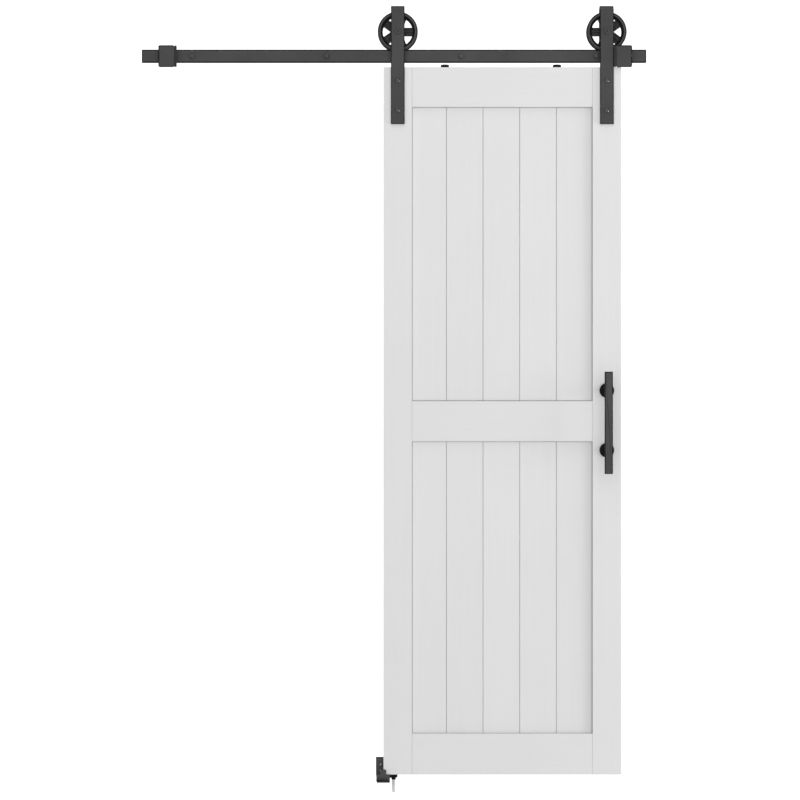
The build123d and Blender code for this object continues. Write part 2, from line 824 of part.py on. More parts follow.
def guide_bracket():
    """The floor guide: a plate on the wall, a block under the door, a low lip and a side ear."""
    body = block(guide_left, guide_right, guide_front, 0, floor_z, floor_z + guide_sheet)
    body += block(guide_left, guide_right, -guide_sheet, 0, floor_z, floor_z + guide_back_height)
    block_top = floor_z + guide_block_height
    body += block(guide_left, guide_right, guide_lip_back, -guide_sheet, floor_z, block_top)
    body += guide_lip() + guide_ear()
    hole = guide_screw_diameter + 2 * bolt_hole_clearance
    x, y = ear_place()
    body -= Pos(x, y, 0) * rod(hole, floor_z, block_top + overrun)
    body -= Pos(x, y, block_top) * floor_screw_sink(running_clearance)
    for screw_x, z in guide_screw_places():
        body -= facing(screw_x, 0, z) * rod(hole, -overrun, guide_sheet + overrun)
    return body


def guide_lip():
    """The sheet in front of the door: a foot across the guide and a narrow lip above it."""
    lip_left = guide_left + guide_lip_inset
    lip_right = guide_right - guide_lip_setback
    lip_top = door_bottom + guide_lip_overlap
    lip = block(lip_left, lip_right, guide_lip_front, guide_lip_back, floor_z, lip_top)
    lip = fillet(lip.edges().filter_by(Axis.Y).sort_by(Axis.Z)[-2:], guide_lip_corner)
    foot_top = floor_z + guide_foot_height
    foot = block(guide_left, guide_right, guide_lip_front, guide_lip_back, floor_z, foot_top)
    upper_corners = foot.edges().filter_by(Axis.Y).group_by(Axis.Z)[-1]
    foot = fillet(upper_corners.sort_by(Axis.X)[-1], guide_foot_corner)
    slot_low = floor_z + guide_slot_above_floor
    foot -= block(guide_left + guide_slot_from_left, guide_right + overrun,
                  guide_lip_front - overrun, guide_lip_front + guide_slot_depth,
                  slot_low, slot_low + guide_slot_height)
    return lip + foot


def guide_ear():
    """The round-ended ear beside the guide that the floor screw goes through."""
    y = ear_place()[1]
    half = ear_width / 2
    high = floor_z + guide_block_height
    low = high - ear_thickness
    round_x = guide_right + ear_length - half
    ear = block(guide_right - overrun, round_x, y - half, y + half, low, high)
    return ear + Pos(round_x, y, 0) * rod(ear_width, low, high)


def floor_screw_sink(extra):
    """The countersunk head of the floor screw with its top at local z = 0, or the recess for it."""
    depth = (guide_screw_head_diameter - guide_screw_diameter) / 2
    return taper(guide_screw_diameter + 2 * extra, guide_screw_head_diameter + 2 * extra, -depth, 0)


def guide_pad():
    """The slippery pad on the guide's back plate that the door's back rubs on."""
    x1 = guide_right - guide_pad_edge_inset
    z0 = floor_z + guide_block_height
    pad_front = door_back + guide_pad_clearance
    pad = block(x1 - guide_pad_width, x1, pad_front, -guide_sheet, z0, z0 + guide_pad_height)
    return chamfer(front_edges(pad), guide_pad_edge_inset)


def guide_wall_screw(x, z):
    """A domed screw through the back plate into the wall."""
    point = screw_point_ratio * guide_screw_thread_diameter
    tip = screw_tip_share * guide_screw_thread_diameter
    screw = rod(guide_screw_diameter, 0, guide_sheet)
    screw += rod(guide_screw_thread_diameter, -guide_screw_depth + point, 0)
    screw += taper(tip, guide_screw_thread_diameter, -guide_screw_depth, -guide_screw_depth + point)
    head = Pos(0, 0, guide_sheet) * dome(guide_screw_head_diameter, guide_screw_head_height)
    socket_floor = guide_sheet + guide_screw_head_height / 2
    socket_top = socket_floor + guide_screw_head_height
    head -= hexagon(guide_screw_socket_across_flats, socket_floor, socket_top)
    return facing(x, 0, z) * (screw + head)


def guide_floor_screw():
    """The countersunk screw through the ear and the collar into the floor plug."""
    x, y = ear_place()
    top = guide_block_height
    depth = (guide_screw_head_diameter - guide_screw_diameter) / 2
    screw = rod(guide_screw_diameter, -floor_screw_length_in_plug, top - depth)
    screw += Pos(0, 0, top) * floor_screw_sink(0)
    screw -= hexagon(guide_screw_socket_across_flats, top - depth / 2, top + overrun)
    return Pos(x, y, floor_z) * screw


def guide_floor_collar():
    """The spacing collar between the ear and the plug's rim."""
    x, y = ear_place()
    height = guide_block_height - ear_thickness
    collar = rod(collar_diameter, plug_rim_height, height)
    collar -= rod(guide_screw_diameter + 2 * bolt_hole_clearance, plug_rim_height, height)
    return Pos(x, y, floor_z) * collar


def guide_floor_plug():
    """The pale wall plug in the floor: straight at the top, then tapering."""
    x, y = ear_place()
    plug = rod(plug_diameter, -plug_straight_length, 0)
    plug += rod(plug_diameter + 2 * plug_rim_overhang, 0, plug_rim_height)
    plug += taper(plug_tip_diameter, plug_diameter, -plug_length, -plug_straight_length)
    bore_end = -floor_screw_length_in_plug - overrun
    plug -= rod(guide_screw_diameter + 2 * running_clearance, bore_end, plug_rim_height + overrun)
    return Pos(x, y, floor_z) * plug


def build_parts():
    """Every piece of the door set, by name."""
    hanger_places = [left_hanger_x, right_hanger_x]
    hanger_bolts = [(x, z) for x in hanger_places for z in hanger_bolt_heights()]
    clamp_screws = clamp_screw_places(-1) + clamp_screw_places(1)
    parts = {
        "track_bar": track_bar(),
        "wall_spacers": group(wall_spacer(x) for x in track_fixing_places()),
        "track_screws": group(lag_screw(x) for x in track_fixing_places()),
        "track_washers": group(lag_washer(x) for x in track_fixing_places()),
        "left_stop": stop_body(-1),
        "right_stop": stop_body(1),
        "left_stop_bumper": stop_bumper(-1),
        "right_stop_bumper": stop_bumper(1),
        "left_clamp_plate": clamp_plate(-1),
        "right_clamp_plate": clamp_plate(1),
        "stop_clamp_screws": group(clamp_screw(x, z) for x, z in clamp_screws),
        "guide_bracket": guide_bracket(),
        "guide_pad": guide_pad(),
        "guide_wall_screws": group(guide_wall_screw(x, z) for x, z in guide_screw_places()),
        "guide_floor_screw": guide_floor_screw(),
        "guide_floor_collar": guide_floor_collar(),
        "guide_floor_plug": guide_floor_plug(),
        "left_stile": left_stile(),
        "right_stile": right_stile(),
        "top_rail": top_rail(),
        "mid_rail": rail(mid_rail_bottom, mid_rail_top, True, True),
        "bottom_rail": rail(door_bottom, bottom_rail_top, False, True),
        "frame_dowels": group(dowel(x, z, dowel_diameter, dowel_length) for x, z in dowel_places()),
        "left_hanger_strap": hanger_strap(left_hanger_x),
        "right_hanger_strap": hanger_strap(right_hanger_x),
        "hanger_bolts": group(hanger_bolt(x, z) for x, z in hanger_bolts),
        "hanger_washers": group(bolt_washer(x, z) for x, z in hanger_bolts),
        "hanger_nuts": group(bolt_nut(x, z) for x, z in hanger_bolts),
        "left_axle": axle(left_hanger_x),
        "right_axle": axle(right_hanger_x),
        "axle_nuts": group(axle_nut(x) for x in hanger_places),
        "axle_bushes": group(axle_bush(x, side) for x in hanger_places for side in (1, -1)),
        "left_wheel": wheel(left_hanger_x, 0),
        "right_wheel": wheel(right_hanger_x, 180),
        "left_bearing": bearing(left_hanger_x),
        "right_bearing": bearing(right_hanger_x),
        "left_jump_disc": jump_disc(disc_places()[0]),
        "right_jump_disc": jump_disc(disc_places()[1]),
        "jump_disc_screws": group(jump_disc_screw(x) for x in disc_places()),
        "handle_bar": handle_bar(),
        "handle_posts": group(handle_post(z) for z in handle_post_heights()),
        "handle_rosettes": group(rosette(z) for z in handle_post_heights()),
        "handle_bolts": group(handle_bolt(z) for z in handle_post_heights()),
        "handle_washers": group(handle_washer(z) for z in handle_post_heights()),
    }
    for index in range(plank_count):
        parts[f"upper_plank_{index + 1}"] = plank(index, mid_rail_top, top_rail_bottom)
        parts[f"lower_plank_{index + 1}"] = plank(index, bottom_rail_top, mid_rail_bottom)
    return parts


os.makedirs("parts", exist_ok=True)
for name, shape in build_parts().items():
    export_step(shape, f"parts/{name}.step")
print(f"hangers at x = {left_hanger_x:.2f} and {right_hanger_x:.2f}, axles at z = {axle_z:.2f}")
print(f"door slides {slide_travel:.2f} to the left; rollers turn {slide_travel / tread_radius:.3f} rad")
print(f"floor at z = {floor_z:.2f}, guide screws at {guide_screw_places()}, plug at {ear_place()}")
print(f"handle posts at z = {handle_post_heights()}, door from x = {door_left:.2f} to {door_right:.2f}")
print(f"one full turn of a roller moves the door {2 * math.pi * tread_radius:.1f}")
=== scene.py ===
import math

import bmesh
import bpy
from mathutils import Matrix, Vector


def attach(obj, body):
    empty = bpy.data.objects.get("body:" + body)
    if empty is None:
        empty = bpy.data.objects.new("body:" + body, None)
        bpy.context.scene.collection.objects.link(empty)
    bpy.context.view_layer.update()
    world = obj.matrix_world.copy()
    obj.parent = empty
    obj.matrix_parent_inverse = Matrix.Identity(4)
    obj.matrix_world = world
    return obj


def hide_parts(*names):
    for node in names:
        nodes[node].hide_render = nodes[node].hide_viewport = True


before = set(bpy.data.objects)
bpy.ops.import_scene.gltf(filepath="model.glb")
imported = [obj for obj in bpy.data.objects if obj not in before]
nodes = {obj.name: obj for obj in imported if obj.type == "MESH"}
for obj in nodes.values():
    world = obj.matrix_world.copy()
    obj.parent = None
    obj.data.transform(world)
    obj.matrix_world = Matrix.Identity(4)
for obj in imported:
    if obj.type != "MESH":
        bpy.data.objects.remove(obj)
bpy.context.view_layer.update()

# The view. The door was seen square on, from about 5.8 m, with the eye a little above the middle
# of the door. Nothing is tilted and the lens isn't shifted.
photo_pixels = 800
focal_pixels = 1923
camera_data = bpy.data.cameras.new("camera")
camera_data.sensor_width = 36.0
camera_data.lens = focal_pixels / photo_pixels * camera_data.sensor_width
camera_data.clip_end = 60.0
camera = bpy.data.objects.new("camera", camera_data)
camera.location = (0.018, -5.85, -1.0386)
camera.rotation_euler = (math.pi / 2, 0, 0)
bpy.context.scene.collection.objects.link(camera)
bpy.context.scene.camera = camera
bpy.context.scene.view_settings.view_transform = "Standard"


# The light. One very large soft lamp behind the camera, a wide one low on the right that draws the
# shade beside the right stile, and a dim white room round them. Steel edges therefore look dark, and their coat paints
# them darker still as painted shade.
def lamp(name, place, target, width, power):
    """A square soft lamp that looks at a point."""
    light = bpy.data.lights.new(name, "AREA")
    light.size = width
    light.energy = power
    made = bpy.data.objects.new(name, light)
    made.location = place
    made.rotation_euler = (Vector(target) - Vector(place)).to_track_quat("-Z", "Y").to_euler()
    bpy.context.scene.collection.objects.link(made)


lamp("front_lamp", (-0.8, -7.6, -0.4), (0.2, 0, -1.15), 13.0, 520)
lamp("side_lamp", (5.2, -1.05, -1.2), (0.3, 0, -1.15), 1.7, 135)
lamp("top_lamp", (0.4, -2.1, 4.9), (0.3, 0, -0.9), 3.0, 82)
room = bpy.data.worlds.new("white room")
room.use_nodes = True
room.node_tree.nodes["Background"].inputs["Color"].default_value = (1, 1, 1, 1)
room.node_tree.nodes["Background"].inputs["Strength"].default_value = 0.39
bpy.context.scene.world = room

# The ground. A sheet of white board below the floor plug, which curves up far behind the door.
# It is there for the picture only. It glows, dimmer in front of the door than behind it, so it reads white and lights
# the door a little from below.
floor_height = -2.45
sweep_start = 11.0
sweep_radius = 1.6
backdrop_half_width = 12.0
backdrop_path = [(-9.0, floor_height), (sweep_start, floor_height)]
for step in range(1, 17):
    turn = math.pi / 2 * step / 16
    backdrop_path.append((
        sweep_start + sweep_radius * math.sin(turn),
        floor_height + sweep_radius * (1 - math.cos(turn)),
    ))
backdrop_path.append((sweep_start + sweep_radius, 6.0))
backdrop_mesh = bpy.data.meshes.new("backdrop")
backdrop_mesh.from_pydata(
    [(x, y, z) for y, z in backdrop_path for x in (-backdrop_half_width, backdrop_half_width)],
    [],
    [(2 * k, 2 * k + 1, 2 * k + 3, 2 * k + 2) for k in range(len(backdrop_path) - 1)],
)
backdrop_mesh.shade_smooth()
backdrop = bpy.data.objects.new("backdrop", backdrop_mesh)
bpy.context.scene.collection.objects.link(backdrop)
board_white = bpy.data.materials.new("white_board")
board_white.use_nodes = True
board_tree = board_white.node_tree
board_shader = board_tree.nodes["Principled BSDF"]
board_shader.inputs["Base Color"].default_value = (0.35, 0.35, 0.35, 1)
board_shader.inputs["Roughness"].default_value = 0.9
board_shader.inputs["Emission Strength"].default_value = 1.0
board_place = board_tree.nodes.new("ShaderNodeTexCoord")
board_split = board_tree.nodes.new("ShaderNodeSeparateXYZ")
board_glow = board_tree.nodes.new("ShaderNodeMapRange")
for socket, value in {1: 0.2, 2: 0.8, 3: 0.45, 4: 1.0}.items():
    board_glow.inputs[socket].default_value = value
board_tree.links.new(board_place.outputs["Object"], board_split.inputs[0])
board_tree.links.new(board_split.outputs[1], board_glow.inputs[0])
board_tree.links.new(board_glow.outputs[0], board_shader.inputs["Emission Color"])
backdrop_mesh.materials.append(board_white)

# The track. One flat steel bar, sheared to length, drilled, and powder-coated matt black.
# Its top edge is painted darker than its lower one, as painted shade, and the rollers have rubbed faint flecks along
# it.


def add(tree, kind, inputs=None, **settings):
    """Adds a node to a tree, with its settings, and plugs or fills its inputs."""
    made = tree.nodes.new(kind)
    for key, value in settings.items():
        setattr(made, key, value)
    for key, value in (inputs or {}).items():
        if isinstance(value, bpy.types.NodeSocket):
            tree.links.new(value, made.inputs[key])
        else:
            made.inputs[key].default_value = value
    return made


def new_group(name, inputs, outputs):
    """An empty shader group with named sockets. Returns the tree, its inputs and its outputs."""
    tree = bpy.data.node_groups.new(name, "ShaderNodeTree")
    for label, (kind, value) in inputs.items():
        tree.interface.new_socket(label, in_out="INPUT", socket_type=kind).default_value = value
    for label, kind in outputs.items():
        tree.interface.new_socket(label, in_out="OUTPUT", socket_type=kind)
    return tree, tree.nodes.new("NodeGroupInput").outputs, tree.nodes.new("NodeGroupOutput").inputs


def blend_colour(tree, share, first, second, blend="MIX"):
    """Mixes two colours and returns the socket of the result."""
    mix = add(tree, "ShaderNodeMix", {0: share, 6: first, 7: second}, data_type="RGBA", blend_type=blend)
    return mix.outputs[2]


def spread(tree, value, low, high, new_low, new_high):
    """Carries a value from one range to another, held at its ends."""
    limits = {1: low, 2: high, 3: new_low, 4: new_high}
    return add(tree, "ShaderNodeMapRange", {0: value, **limits}).outputs[0]


def calculate(tree, operation, first, second=0.0):
    """One step of arithmetic."""
    return add(tree, "ShaderNodeMath", {0: first, 1: second}, operation=operation).outputs[0]


def coat_group():
    """Baked powder on steel: a fine skin, slow changes of tone, marked corners painted dark as painted shade and rubbed
    in places, and raised faces painted lighter as painted light.
    """
    tree, given, wanted = new_group(
        "baked powder coat",
        {
            "Colour": ("NodeSocketColor", (0.05, 0.05, 0.05, 1)),
            "Raised Lit Colour": ("NodeSocketColor", (0.05, 0.05, 0.05, 1)),
            "Edge Shade Colour": ("NodeSocketColor", (0.01, 0.01, 0.01, 1)),
            "Rubbed Colour": ("NodeSocketColor", (0.2, 0.2, 0.2, 1)),
            "Rub": ("NodeSocketFloat", 0.4),
            "Roughness": ("NodeSocketFloat", 0.55),
            "Skin Scale": ("NodeSocketFloat", 900.0),
        },
        {
            "Colour": "NodeSocketColor",
            "Roughness": "NodeSocketFloat",
            "Height": "NodeSocketFloat",
            "Rubbed": "NodeSocketFloat",
        },
    )
    place = add(tree, "ShaderNodeTexCoord").outputs["Object"]
    skin = add(tree, "ShaderNodeTexNoise", {"Vector": place, "Scale": given["Skin Scale"], "Detail": 3.0})
    tone = add(tree, "ShaderNodeTexNoise", {"Vector": place, "Scale": 7.0, "Detail": 6.0})
    flecks = add(tree, "ShaderNodeTexNoise", {"Vector": place, "Scale": 160.0, "Detail": 4.0})
    edge = add(tree, "ShaderNodeAttribute", attribute_name="edge").outputs["Fac"]
    copy = add(tree, "ShaderNodeAttribute", attribute_name="copy").outputs["Fac"]
    raised = add(tree, "ShaderNodeAttribute", attribute_name="raised").outputs["Fac"]
    broken = spread(tree, flecks.outputs["Fac"], 0.58, 0.7, 0.0, 1.0)
    rubbed = calculate(tree, "MULTIPLY", calculate(tree, "MULTIPLY", edge, broken), given["Rub"])
    shade = spread(tree, tone.outputs["Fac"], 0.3, 0.7, 0.86, 1.12)
    shade = calculate(tree, "ADD", shade, calculate(tree, "MULTIPLY", copy, 0.08))
    shade_colour = add(tree, "ShaderNodeCombineXYZ", {0: shade, 1: shade, 2: shade}).outputs[0]
    # Raised faces take a lighter colour, painted light, and marked edges a darker one, painted shade.
    body = blend_colour(tree, raised, given["Colour"], given["Raised Lit Colour"])
    toned = blend_colour(tree, 1.0, body, shade_colour, "MULTIPLY")
    toned = blend_colour(tree, edge, toned, given["Edge Shade Colour"])
    tree.links.new(blend_colour(tree, rubbed, toned, given["Rubbed Colour"]), wanted["Colour"])
    rough = calculate(tree, "ADD", given["Roughness"], spread(tree, tone.outputs["Fac"], 0.3, 0.7, -0.05, 0.07))
    rough = calculate(tree, "ADD", rough, calculate(tree, "MULTIPLY", edge, 0.2))
    rough = calculate(tree, "SUBTRACT", rough, calculate(tree, "MULTIPLY", rubbed, 0.35))
    tree.links.new(rough, wanted["Roughness"])
    tree.links.new(skin.outputs["Fac"], wanted["Height"])
    tree.links.new(rubbed, wanted["Rubbed"])
    return tree


powder_coat = coat_group()


def coated_steel(name, colour, edge, rub, roughness, shine=0.12, raised=None, skin=(900.0, 0.00012)):
    """A material of powder coat over steel, from its level of grey, the darker grey painted on its corners as shade,
    and any lighter grey painted on raised faces as light.
    """
    material = bpy.data.materials.new(name)
    material.use_nodes = True
    tree = material.node_tree
    coat = add(tree, "ShaderNodeGroup", node_tree=powder_coat)
    coat.inputs["Colour"].default_value = (colour, colour, 1.03 * colour, 1)
    coat.inputs["Raised Lit Colour"].default_value = (raised or colour, raised or colour, raised or colour, 1)
    coat.inputs["Edge Shade Colour"].default_value = (edge, edge, edge, 1)
    coat.inputs["Rub"].default_value = rub
    coat.inputs["Roughness"].default_value = roughness
    coat.inputs["Skin Scale"].default_value = skin[0]
    shader = tree.nodes["Principled BSDF"]
    shader.inputs["Specular IOR Level"].default_value = shine
    bump = add(tree, "ShaderNodeBump", {"Strength": 0.6, "Distance": skin[1], "Height": coat.outputs["Height"]})
    tree.links.new(coat.outputs["Colour"], shader.inputs["Base Color"])
    tree.links.new(coat.outputs["Roughness"], shader.inputs["Roughness"])
    tree.links.new(coat.outputs["Rubbed"], shader.inputs["Metallic"])
    tree.links.new(bump.outputs["Normal"], shader.inputs["Normal"])
    return material


def paint(node, material):
    """Gives a CAD node its finish."""
    slots = nodes[node].data.materials
    slots.clear()
    slots.append(material)


def eased(outline, radius, steps=3, closed=True):
    """Rounds an outline's corners. Each point comes with 1 where a rounded strip starts at it."""
    rounded = []
    for k, corner in enumerate(outline):
        here = Vector(corner[:2])
        if not closed and k in (0, len(outline) - 1):
            rounded.append((here.x, here.y, 0.0))
            continue
        before = Vector(outline[k - 1][:2]) - here
        after = Vector(outline[(k + 1) % len(outline)][:2]) - here
        reach = radius / math.tan(before.angle(after) / 2)
        reach = min(reach, 0.45 * before.length, 0.45 * after.length)
        start = here + before.normalized() * reach
        end = here + after.normalized() * reach
        for step in range(steps + 1):
            share = step / steps
            point = start.lerp(here, share).lerp(here.lerp(end, share), share)
            rounded.append((point.x, point.y, float(step < steps)))
    return rounded


def box_outline(x0, x1, y0, y1):
    """Corners of an upright rectangle, counter-clockwise."""
    return [(x0, y0), (x1, y0), (x1, y1), (x0, y1)]


def circle(x, y, radius, steps=48):
    """A round hole's loop, clockwise."""
    turns = [-2 * math.pi * k / steps for k in range(steps)]
    return [(x + radius * math.cos(turn), y + radius * math.sin(turn)) for turn in turns]


def drawn_in(outline, distance):
    """A loop with each of its sides moved into the material."""
    moved_in = []
    for k, corner in enumerate(outline):
        here = Vector(corner[:2])
        before = (here - Vector(outline[k - 1][:2])).normalized()
        after = (Vector(outline[(k + 1) % len(outline)][:2]) - here).normalized()
        left, right = Vector((-before.y, before.x)), Vector((-after.y, after.x))
        moved_in.append(here + (left + right) * distance / (1 + left.dot(right)))
    return moved_in


def plate(outlines, low, high, ease=0.0, steps=3, reach=None):
    """A flat piece between two heights. The first loop is its outside, the others are holes in it.

    Its corners are eased by so much of its thickness, and as far inwards unless a reach is given."""
    shape = bmesh.new()
    edge = shape.faces.layers.float.new("edge")
    shape.faces.layers.float.new("raised")
    turns = [math.pi / 2 * step / steps for step in range(steps + 1)] if ease else [math.pi / 2]
    reach = reach or ease
    levels = [(reach * (1 - math.sin(turn)), low + ease * (1 - math.cos(turn))) for turn in turns]
    levels += [(inset, low + high - z) for inset, z in levels[::-1]]
    middle = len(levels) // 2 - 1
    bottom, top = [], []
    for outline in outlines:
        corner = [float(point[2]) if len(point) > 2 else 0.0 for point in outline]
        rings = []
        for inset, z in levels:
            loop = drawn_in(outline, inset) if inset else [Vector(point[:2]) for point in outline]
            rings.append([shape.verts.new((point.x, point.y, z)) for point in loop])
        for level in range(len(rings) - 1):
            for k in range(len(outline)):
                after = (k + 1) % len(outline)
                face = shape.faces.new((rings[level][k], rings[level][after],
                                        rings[level + 1][after], rings[level + 1][k]))
                face[edge] = max(corner[k], float(level != middle))
        bottom.append(rings[0])
        top.append(rings[-1])
    for rings in (bottom, top):
        if len(rings) == 1:
            shape.faces.new(rings[0])
            continue
        rims = [shape.edges.get((ring[k - 1], ring[k])) for ring in rings for k in range(len(ring))]
        bmesh.ops.triangle_fill(shape, use_beauty=True, edges=rims)
    bmesh.ops.recalc_face_normals(shape, faces=shape.faces)
    return shape


def turned(outline, closed=True, steps=56):
    """A solid turned about Z from (radius, height, rounded) points, which go up on the outside."""
    shape = bmesh.new()
    edge = shape.faces.layers.float.new("edge")
    shape.faces.layers.float.new("raised")
    rings = []
    for radius, height, _ in outline:
        if radius < 1e-6:
            rings.append([shape.verts.new((0, 0, height))] * steps)
            continue
        angles = [2 * math.pi * k / steps for k in range(steps)]
        rings.append([shape.verts.new((radius * math.cos(a), radius * math.sin(a), height)) for a in angles])
    for i in range(len(rings) if closed else len(rings) - 1):
        low, high = rings[i], rings[(i + 1) % len(rings)]
        for k in range(steps):
            after = (k + 1) % steps
            corners = dict.fromkeys([low[k], low[after], high[after], high[k]])
            if len(corners) > 2:
                shape.faces.new(corners)[edge] = outline[i][2]
    bmesh.ops.recalc_face_normals(shape, faces=shape.faces)
    return shape


def hexagon(across):
    """Corners of a hexagon that is so wide across its flats."""
    radius = across / math.sqrt(3)
    return [(radius * math.cos(k * math.pi / 3), radius * math.sin(k * math.pi / 3)) for k in range(6)]


def joined(*shapes):
    """Several meshes as one."""
    whole = shapes[0]
    for other in shapes[1:]:
        carrier = bpy.data.meshes.new("carrier")
        other.to_mesh(carrier)
        whole.from_mesh(carrier)
        bpy.data.meshes.remove(carrier)
        other.free()
    return whole


def moved(shape, matrix):
    """A mesh carried to another place."""
    bmesh.ops.transform(shape, matrix=matrix, verts=shape.verts)
    return shape


def facing(x, y, z):
    """Puts a shape made on Z at a place, with its +Z end towards the room."""
    return Matrix.Translation((x, y, z)) @ Matrix.Rotation(math.pi / 2, 4, "X")


def upright(outlines, front, back, ease=0.0, steps=3, reach=None):
    """A flat piece whose loops are drawn in X and Z, between its front and its back."""
    return moved(plate(outlines, -back, -front, ease, steps, reach), Matrix.Rotation(math.pi / 2, 4, "X"))


def lengthways(outline, x0, x1, ease=0.0, steps=3):
    """A bar along X from an outline in Y and Z."""
    along_x = Matrix(((0, 0, 1, 0), (1, 0, 0, 0), (0, 1, 0, 0), (0, 0, 0, 1)))
    return moved(plate([outline], x0, x1, ease, steps), along_x)


def to_mesh(name, shape, material):
    """Turns a working mesh into mesh data with its finish."""
    mesh = bpy.data.meshes.new(name)
    shape.to_mesh(mesh)
    shape.free()
    mesh.materials.append(material)
    return mesh


def piece(name, mesh, body, slot, *replaced):
    """Puts a mesh made in millimetres into the door set, in metres, for the CAD nodes it stands for."""
    mesh.transform(Matrix.Scale(0.001, 4))
    mesh.shade_smooth()
    mesh.set_sharp_from_angle(angle=math.radians(38))
    obj = bpy.data.objects.new(name, mesh)
    bpy.context.scene.collection.objects.link(obj)
    flats = obj.modifiers.new("Flats stay flat", "WEIGHTED_NORMAL")
    flats.keep_sharp = True
    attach(obj, body)
    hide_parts(*replaced)
    return obj


track_half_length = 762.0
track_half_height = 20.0
track_back, track_front = -35.0, -41.0
track_ease = 0.8
track_border = 3.4
fixing_count = 4
fixing_pitch = 406.4
track_hole_radius = 4.5
track_coat = coated_steel("track_coat", 0.061, 0.004, 0.5, 0.5)
track_holes = [circle((k - (fixing_count - 1) / 2) * fixing_pitch, 0, track_hole_radius) for k in range(fixing_count)]
track_outline = box_outline(-track_half_length, track_half_length, -track_half_height, track_half_height)
track = upright([eased(track_outline, 0.8), *track_holes], track_front, track_back, track_ease, 4, track_border)
shaded_rubbed_edge = track.faces.layers.float["edge"]
# Edges on the lower half keep only a little of the painted dark edge, so the painted shade lies along the top.
for part in track.faces:
    if part.calc_center_median().z < 0:
        part[shaded_rubbed_edge] *= 0.15
piece("track_bar_coated", to_mesh("track_bar_coated", track, track_coat), "track", "black_steel", "track_bar")

# The wall fixings. Each is a turned sleeve between wall and track, a hexagon-headed wood screw
# through both, and a washer under its head. All are coated like the track.


def rows_tree():
    """Sets copies of one piece in even rows along X and up Z, about the origin."""
    tree = bpy.data.node_groups.new("Pieces in rows", "GeometryNodeTree")
    sockets = {
        "Piece": "NodeSocketGeometry",
        "Count Along": "NodeSocketInt",
        "Pitch Along": "NodeSocketFloat",
        "Count Up": "NodeSocketInt",
        "Pitch Up": "NodeSocketFloat",
        "Seed": "NodeSocketInt",
        "Finish": "NodeSocketMaterial",
    }
    for label, kind in sockets.items():
        tree.interface.new_socket(label, in_out="INPUT", socket_type=kind)
    tree.interface.new_socket("Pieces", in_out="OUTPUT", socket_type="NodeSocketGeometry")
    given = tree.nodes.new("NodeGroupInput").outputs

    def line(count, pitch, axis):
        """Evenly spaced points whose middle is at the origin."""
        gaps = calculate(tree, "SUBTRACT", count, 1.0)
        first = calculate(tree, "MULTIPLY", calculate(tree, "MULTIPLY", gaps, pitch), -0.5)
        start = add(tree, "ShaderNodeCombineXYZ", {axis: first}).outputs[0]
        step = add(tree, "ShaderNodeCombineXYZ", {axis: pitch}).outputs[0]
        points = add(tree, "GeometryNodeMeshLine", {"Count": count, "Start Location": start, "Offset": step})
        return points.outputs[0]

    along = line(given["Count Along"], given["Pitch Along"], 0)
    up = line(given["Count Up"], given["Pitch Up"], 2)
    grid = add(tree, "GeometryNodeInstanceOnPoints", {"Points": along, "Instance": up}).outputs[0]
    grid = add(tree, "GeometryNodeRealizeInstances", {0: grid}).outputs[0]
    copies = add(tree, "GeometryNodeInstanceOnPoints", {"Points": grid, "Instance": given["Piece"]})
    chance = add(tree, "FunctionNodeRandomValue", {"Seed": given["Seed"]}, data_type="FLOAT")
    marked = add(tree, "GeometryNodeStoreNamedAttribute",
                 {"Geometry": copies.outputs[0], "Name": "copy", "Value": chance.outputs[1]},
                 data_type="FLOAT", domain="INSTANCE")
    real = add(tree, "GeometryNodeRealizeInstances", {0: marked.outputs[0]}).outputs[0]
    dressed = add(tree, "GeometryNodeSetMaterial", {"Geometry": real, "Material": given["Finish"]})
    tree.links.new(dressed.outputs[0], tree.nodes.new("NodeGroupOutput").inputs[0])
    return tree


piece_rows = rows_tree()


def through_tree(name, shape, tree, values):
    """Runs a mesh through a Geometry Nodes tree and returns plain mesh data."""
    source = bpy.data.meshes.new(name)
    shape.to_mesh(source)
    shape.free()
    carrier = bpy.data.objects.new(name + " source", source)
    bpy.context.scene.collection.objects.link(carrier)
    modifier = carrier.modifiers.new("Copies", "NODES")
    modifier.node_group = tree
    labels = {item.name: item.identifier for item in tree.interface.items_tree if item.in_out == "INPUT"}
    for label, value in values.items():
        modifier[labels[label]] = value
    evaluated = carrier.evaluated_get(bpy.context.evaluated_depsgraph_get())
    mesh = bpy.data.meshes.new_from_object(evaluated)
    mesh.name = name
    carrier.modifiers.remove(modifier)
    bpy.data.objects.remove(carrier)
    return mesh


def in_rows(name, shape, place, finish, along=(1, 0.0), up=(1, 0.0), seed=1):
    """Copies of a shape made about its own Z, facing the room, in rows about a place."""
    moved(shape, Matrix.Rotation(math.pi / 2, 4, "X"))
    mesh = through_tree(name, shape, piece_rows, {
        "Count Along": along[0], "Pitch Along": along[1],
        "Count Up": up[0], "Pitch Up": up[1],
        "Seed": seed, "Finish": finish,
    })
    mesh.transform(Matrix.Translation(place))
    return mesh


def washer(inner, outer, low, high, radius=0.3):
    """A flat ring with eased rims."""
    return turned(eased([(inner, low), (outer, low), (outer, high), (inner, high)], radius))


def ridges(radius, height, pitch, low, high):
    """Outline points of a screw's thread, from its lower end up."""
    rows = []
    for k in range(int((high - low) / pitch)):
        base = low + k * pitch
        rows += [(radius, base, 0.0), (radius + height, base + pitch / 2, 0.0)]
    return rows + [(radius, high, 0.0)]


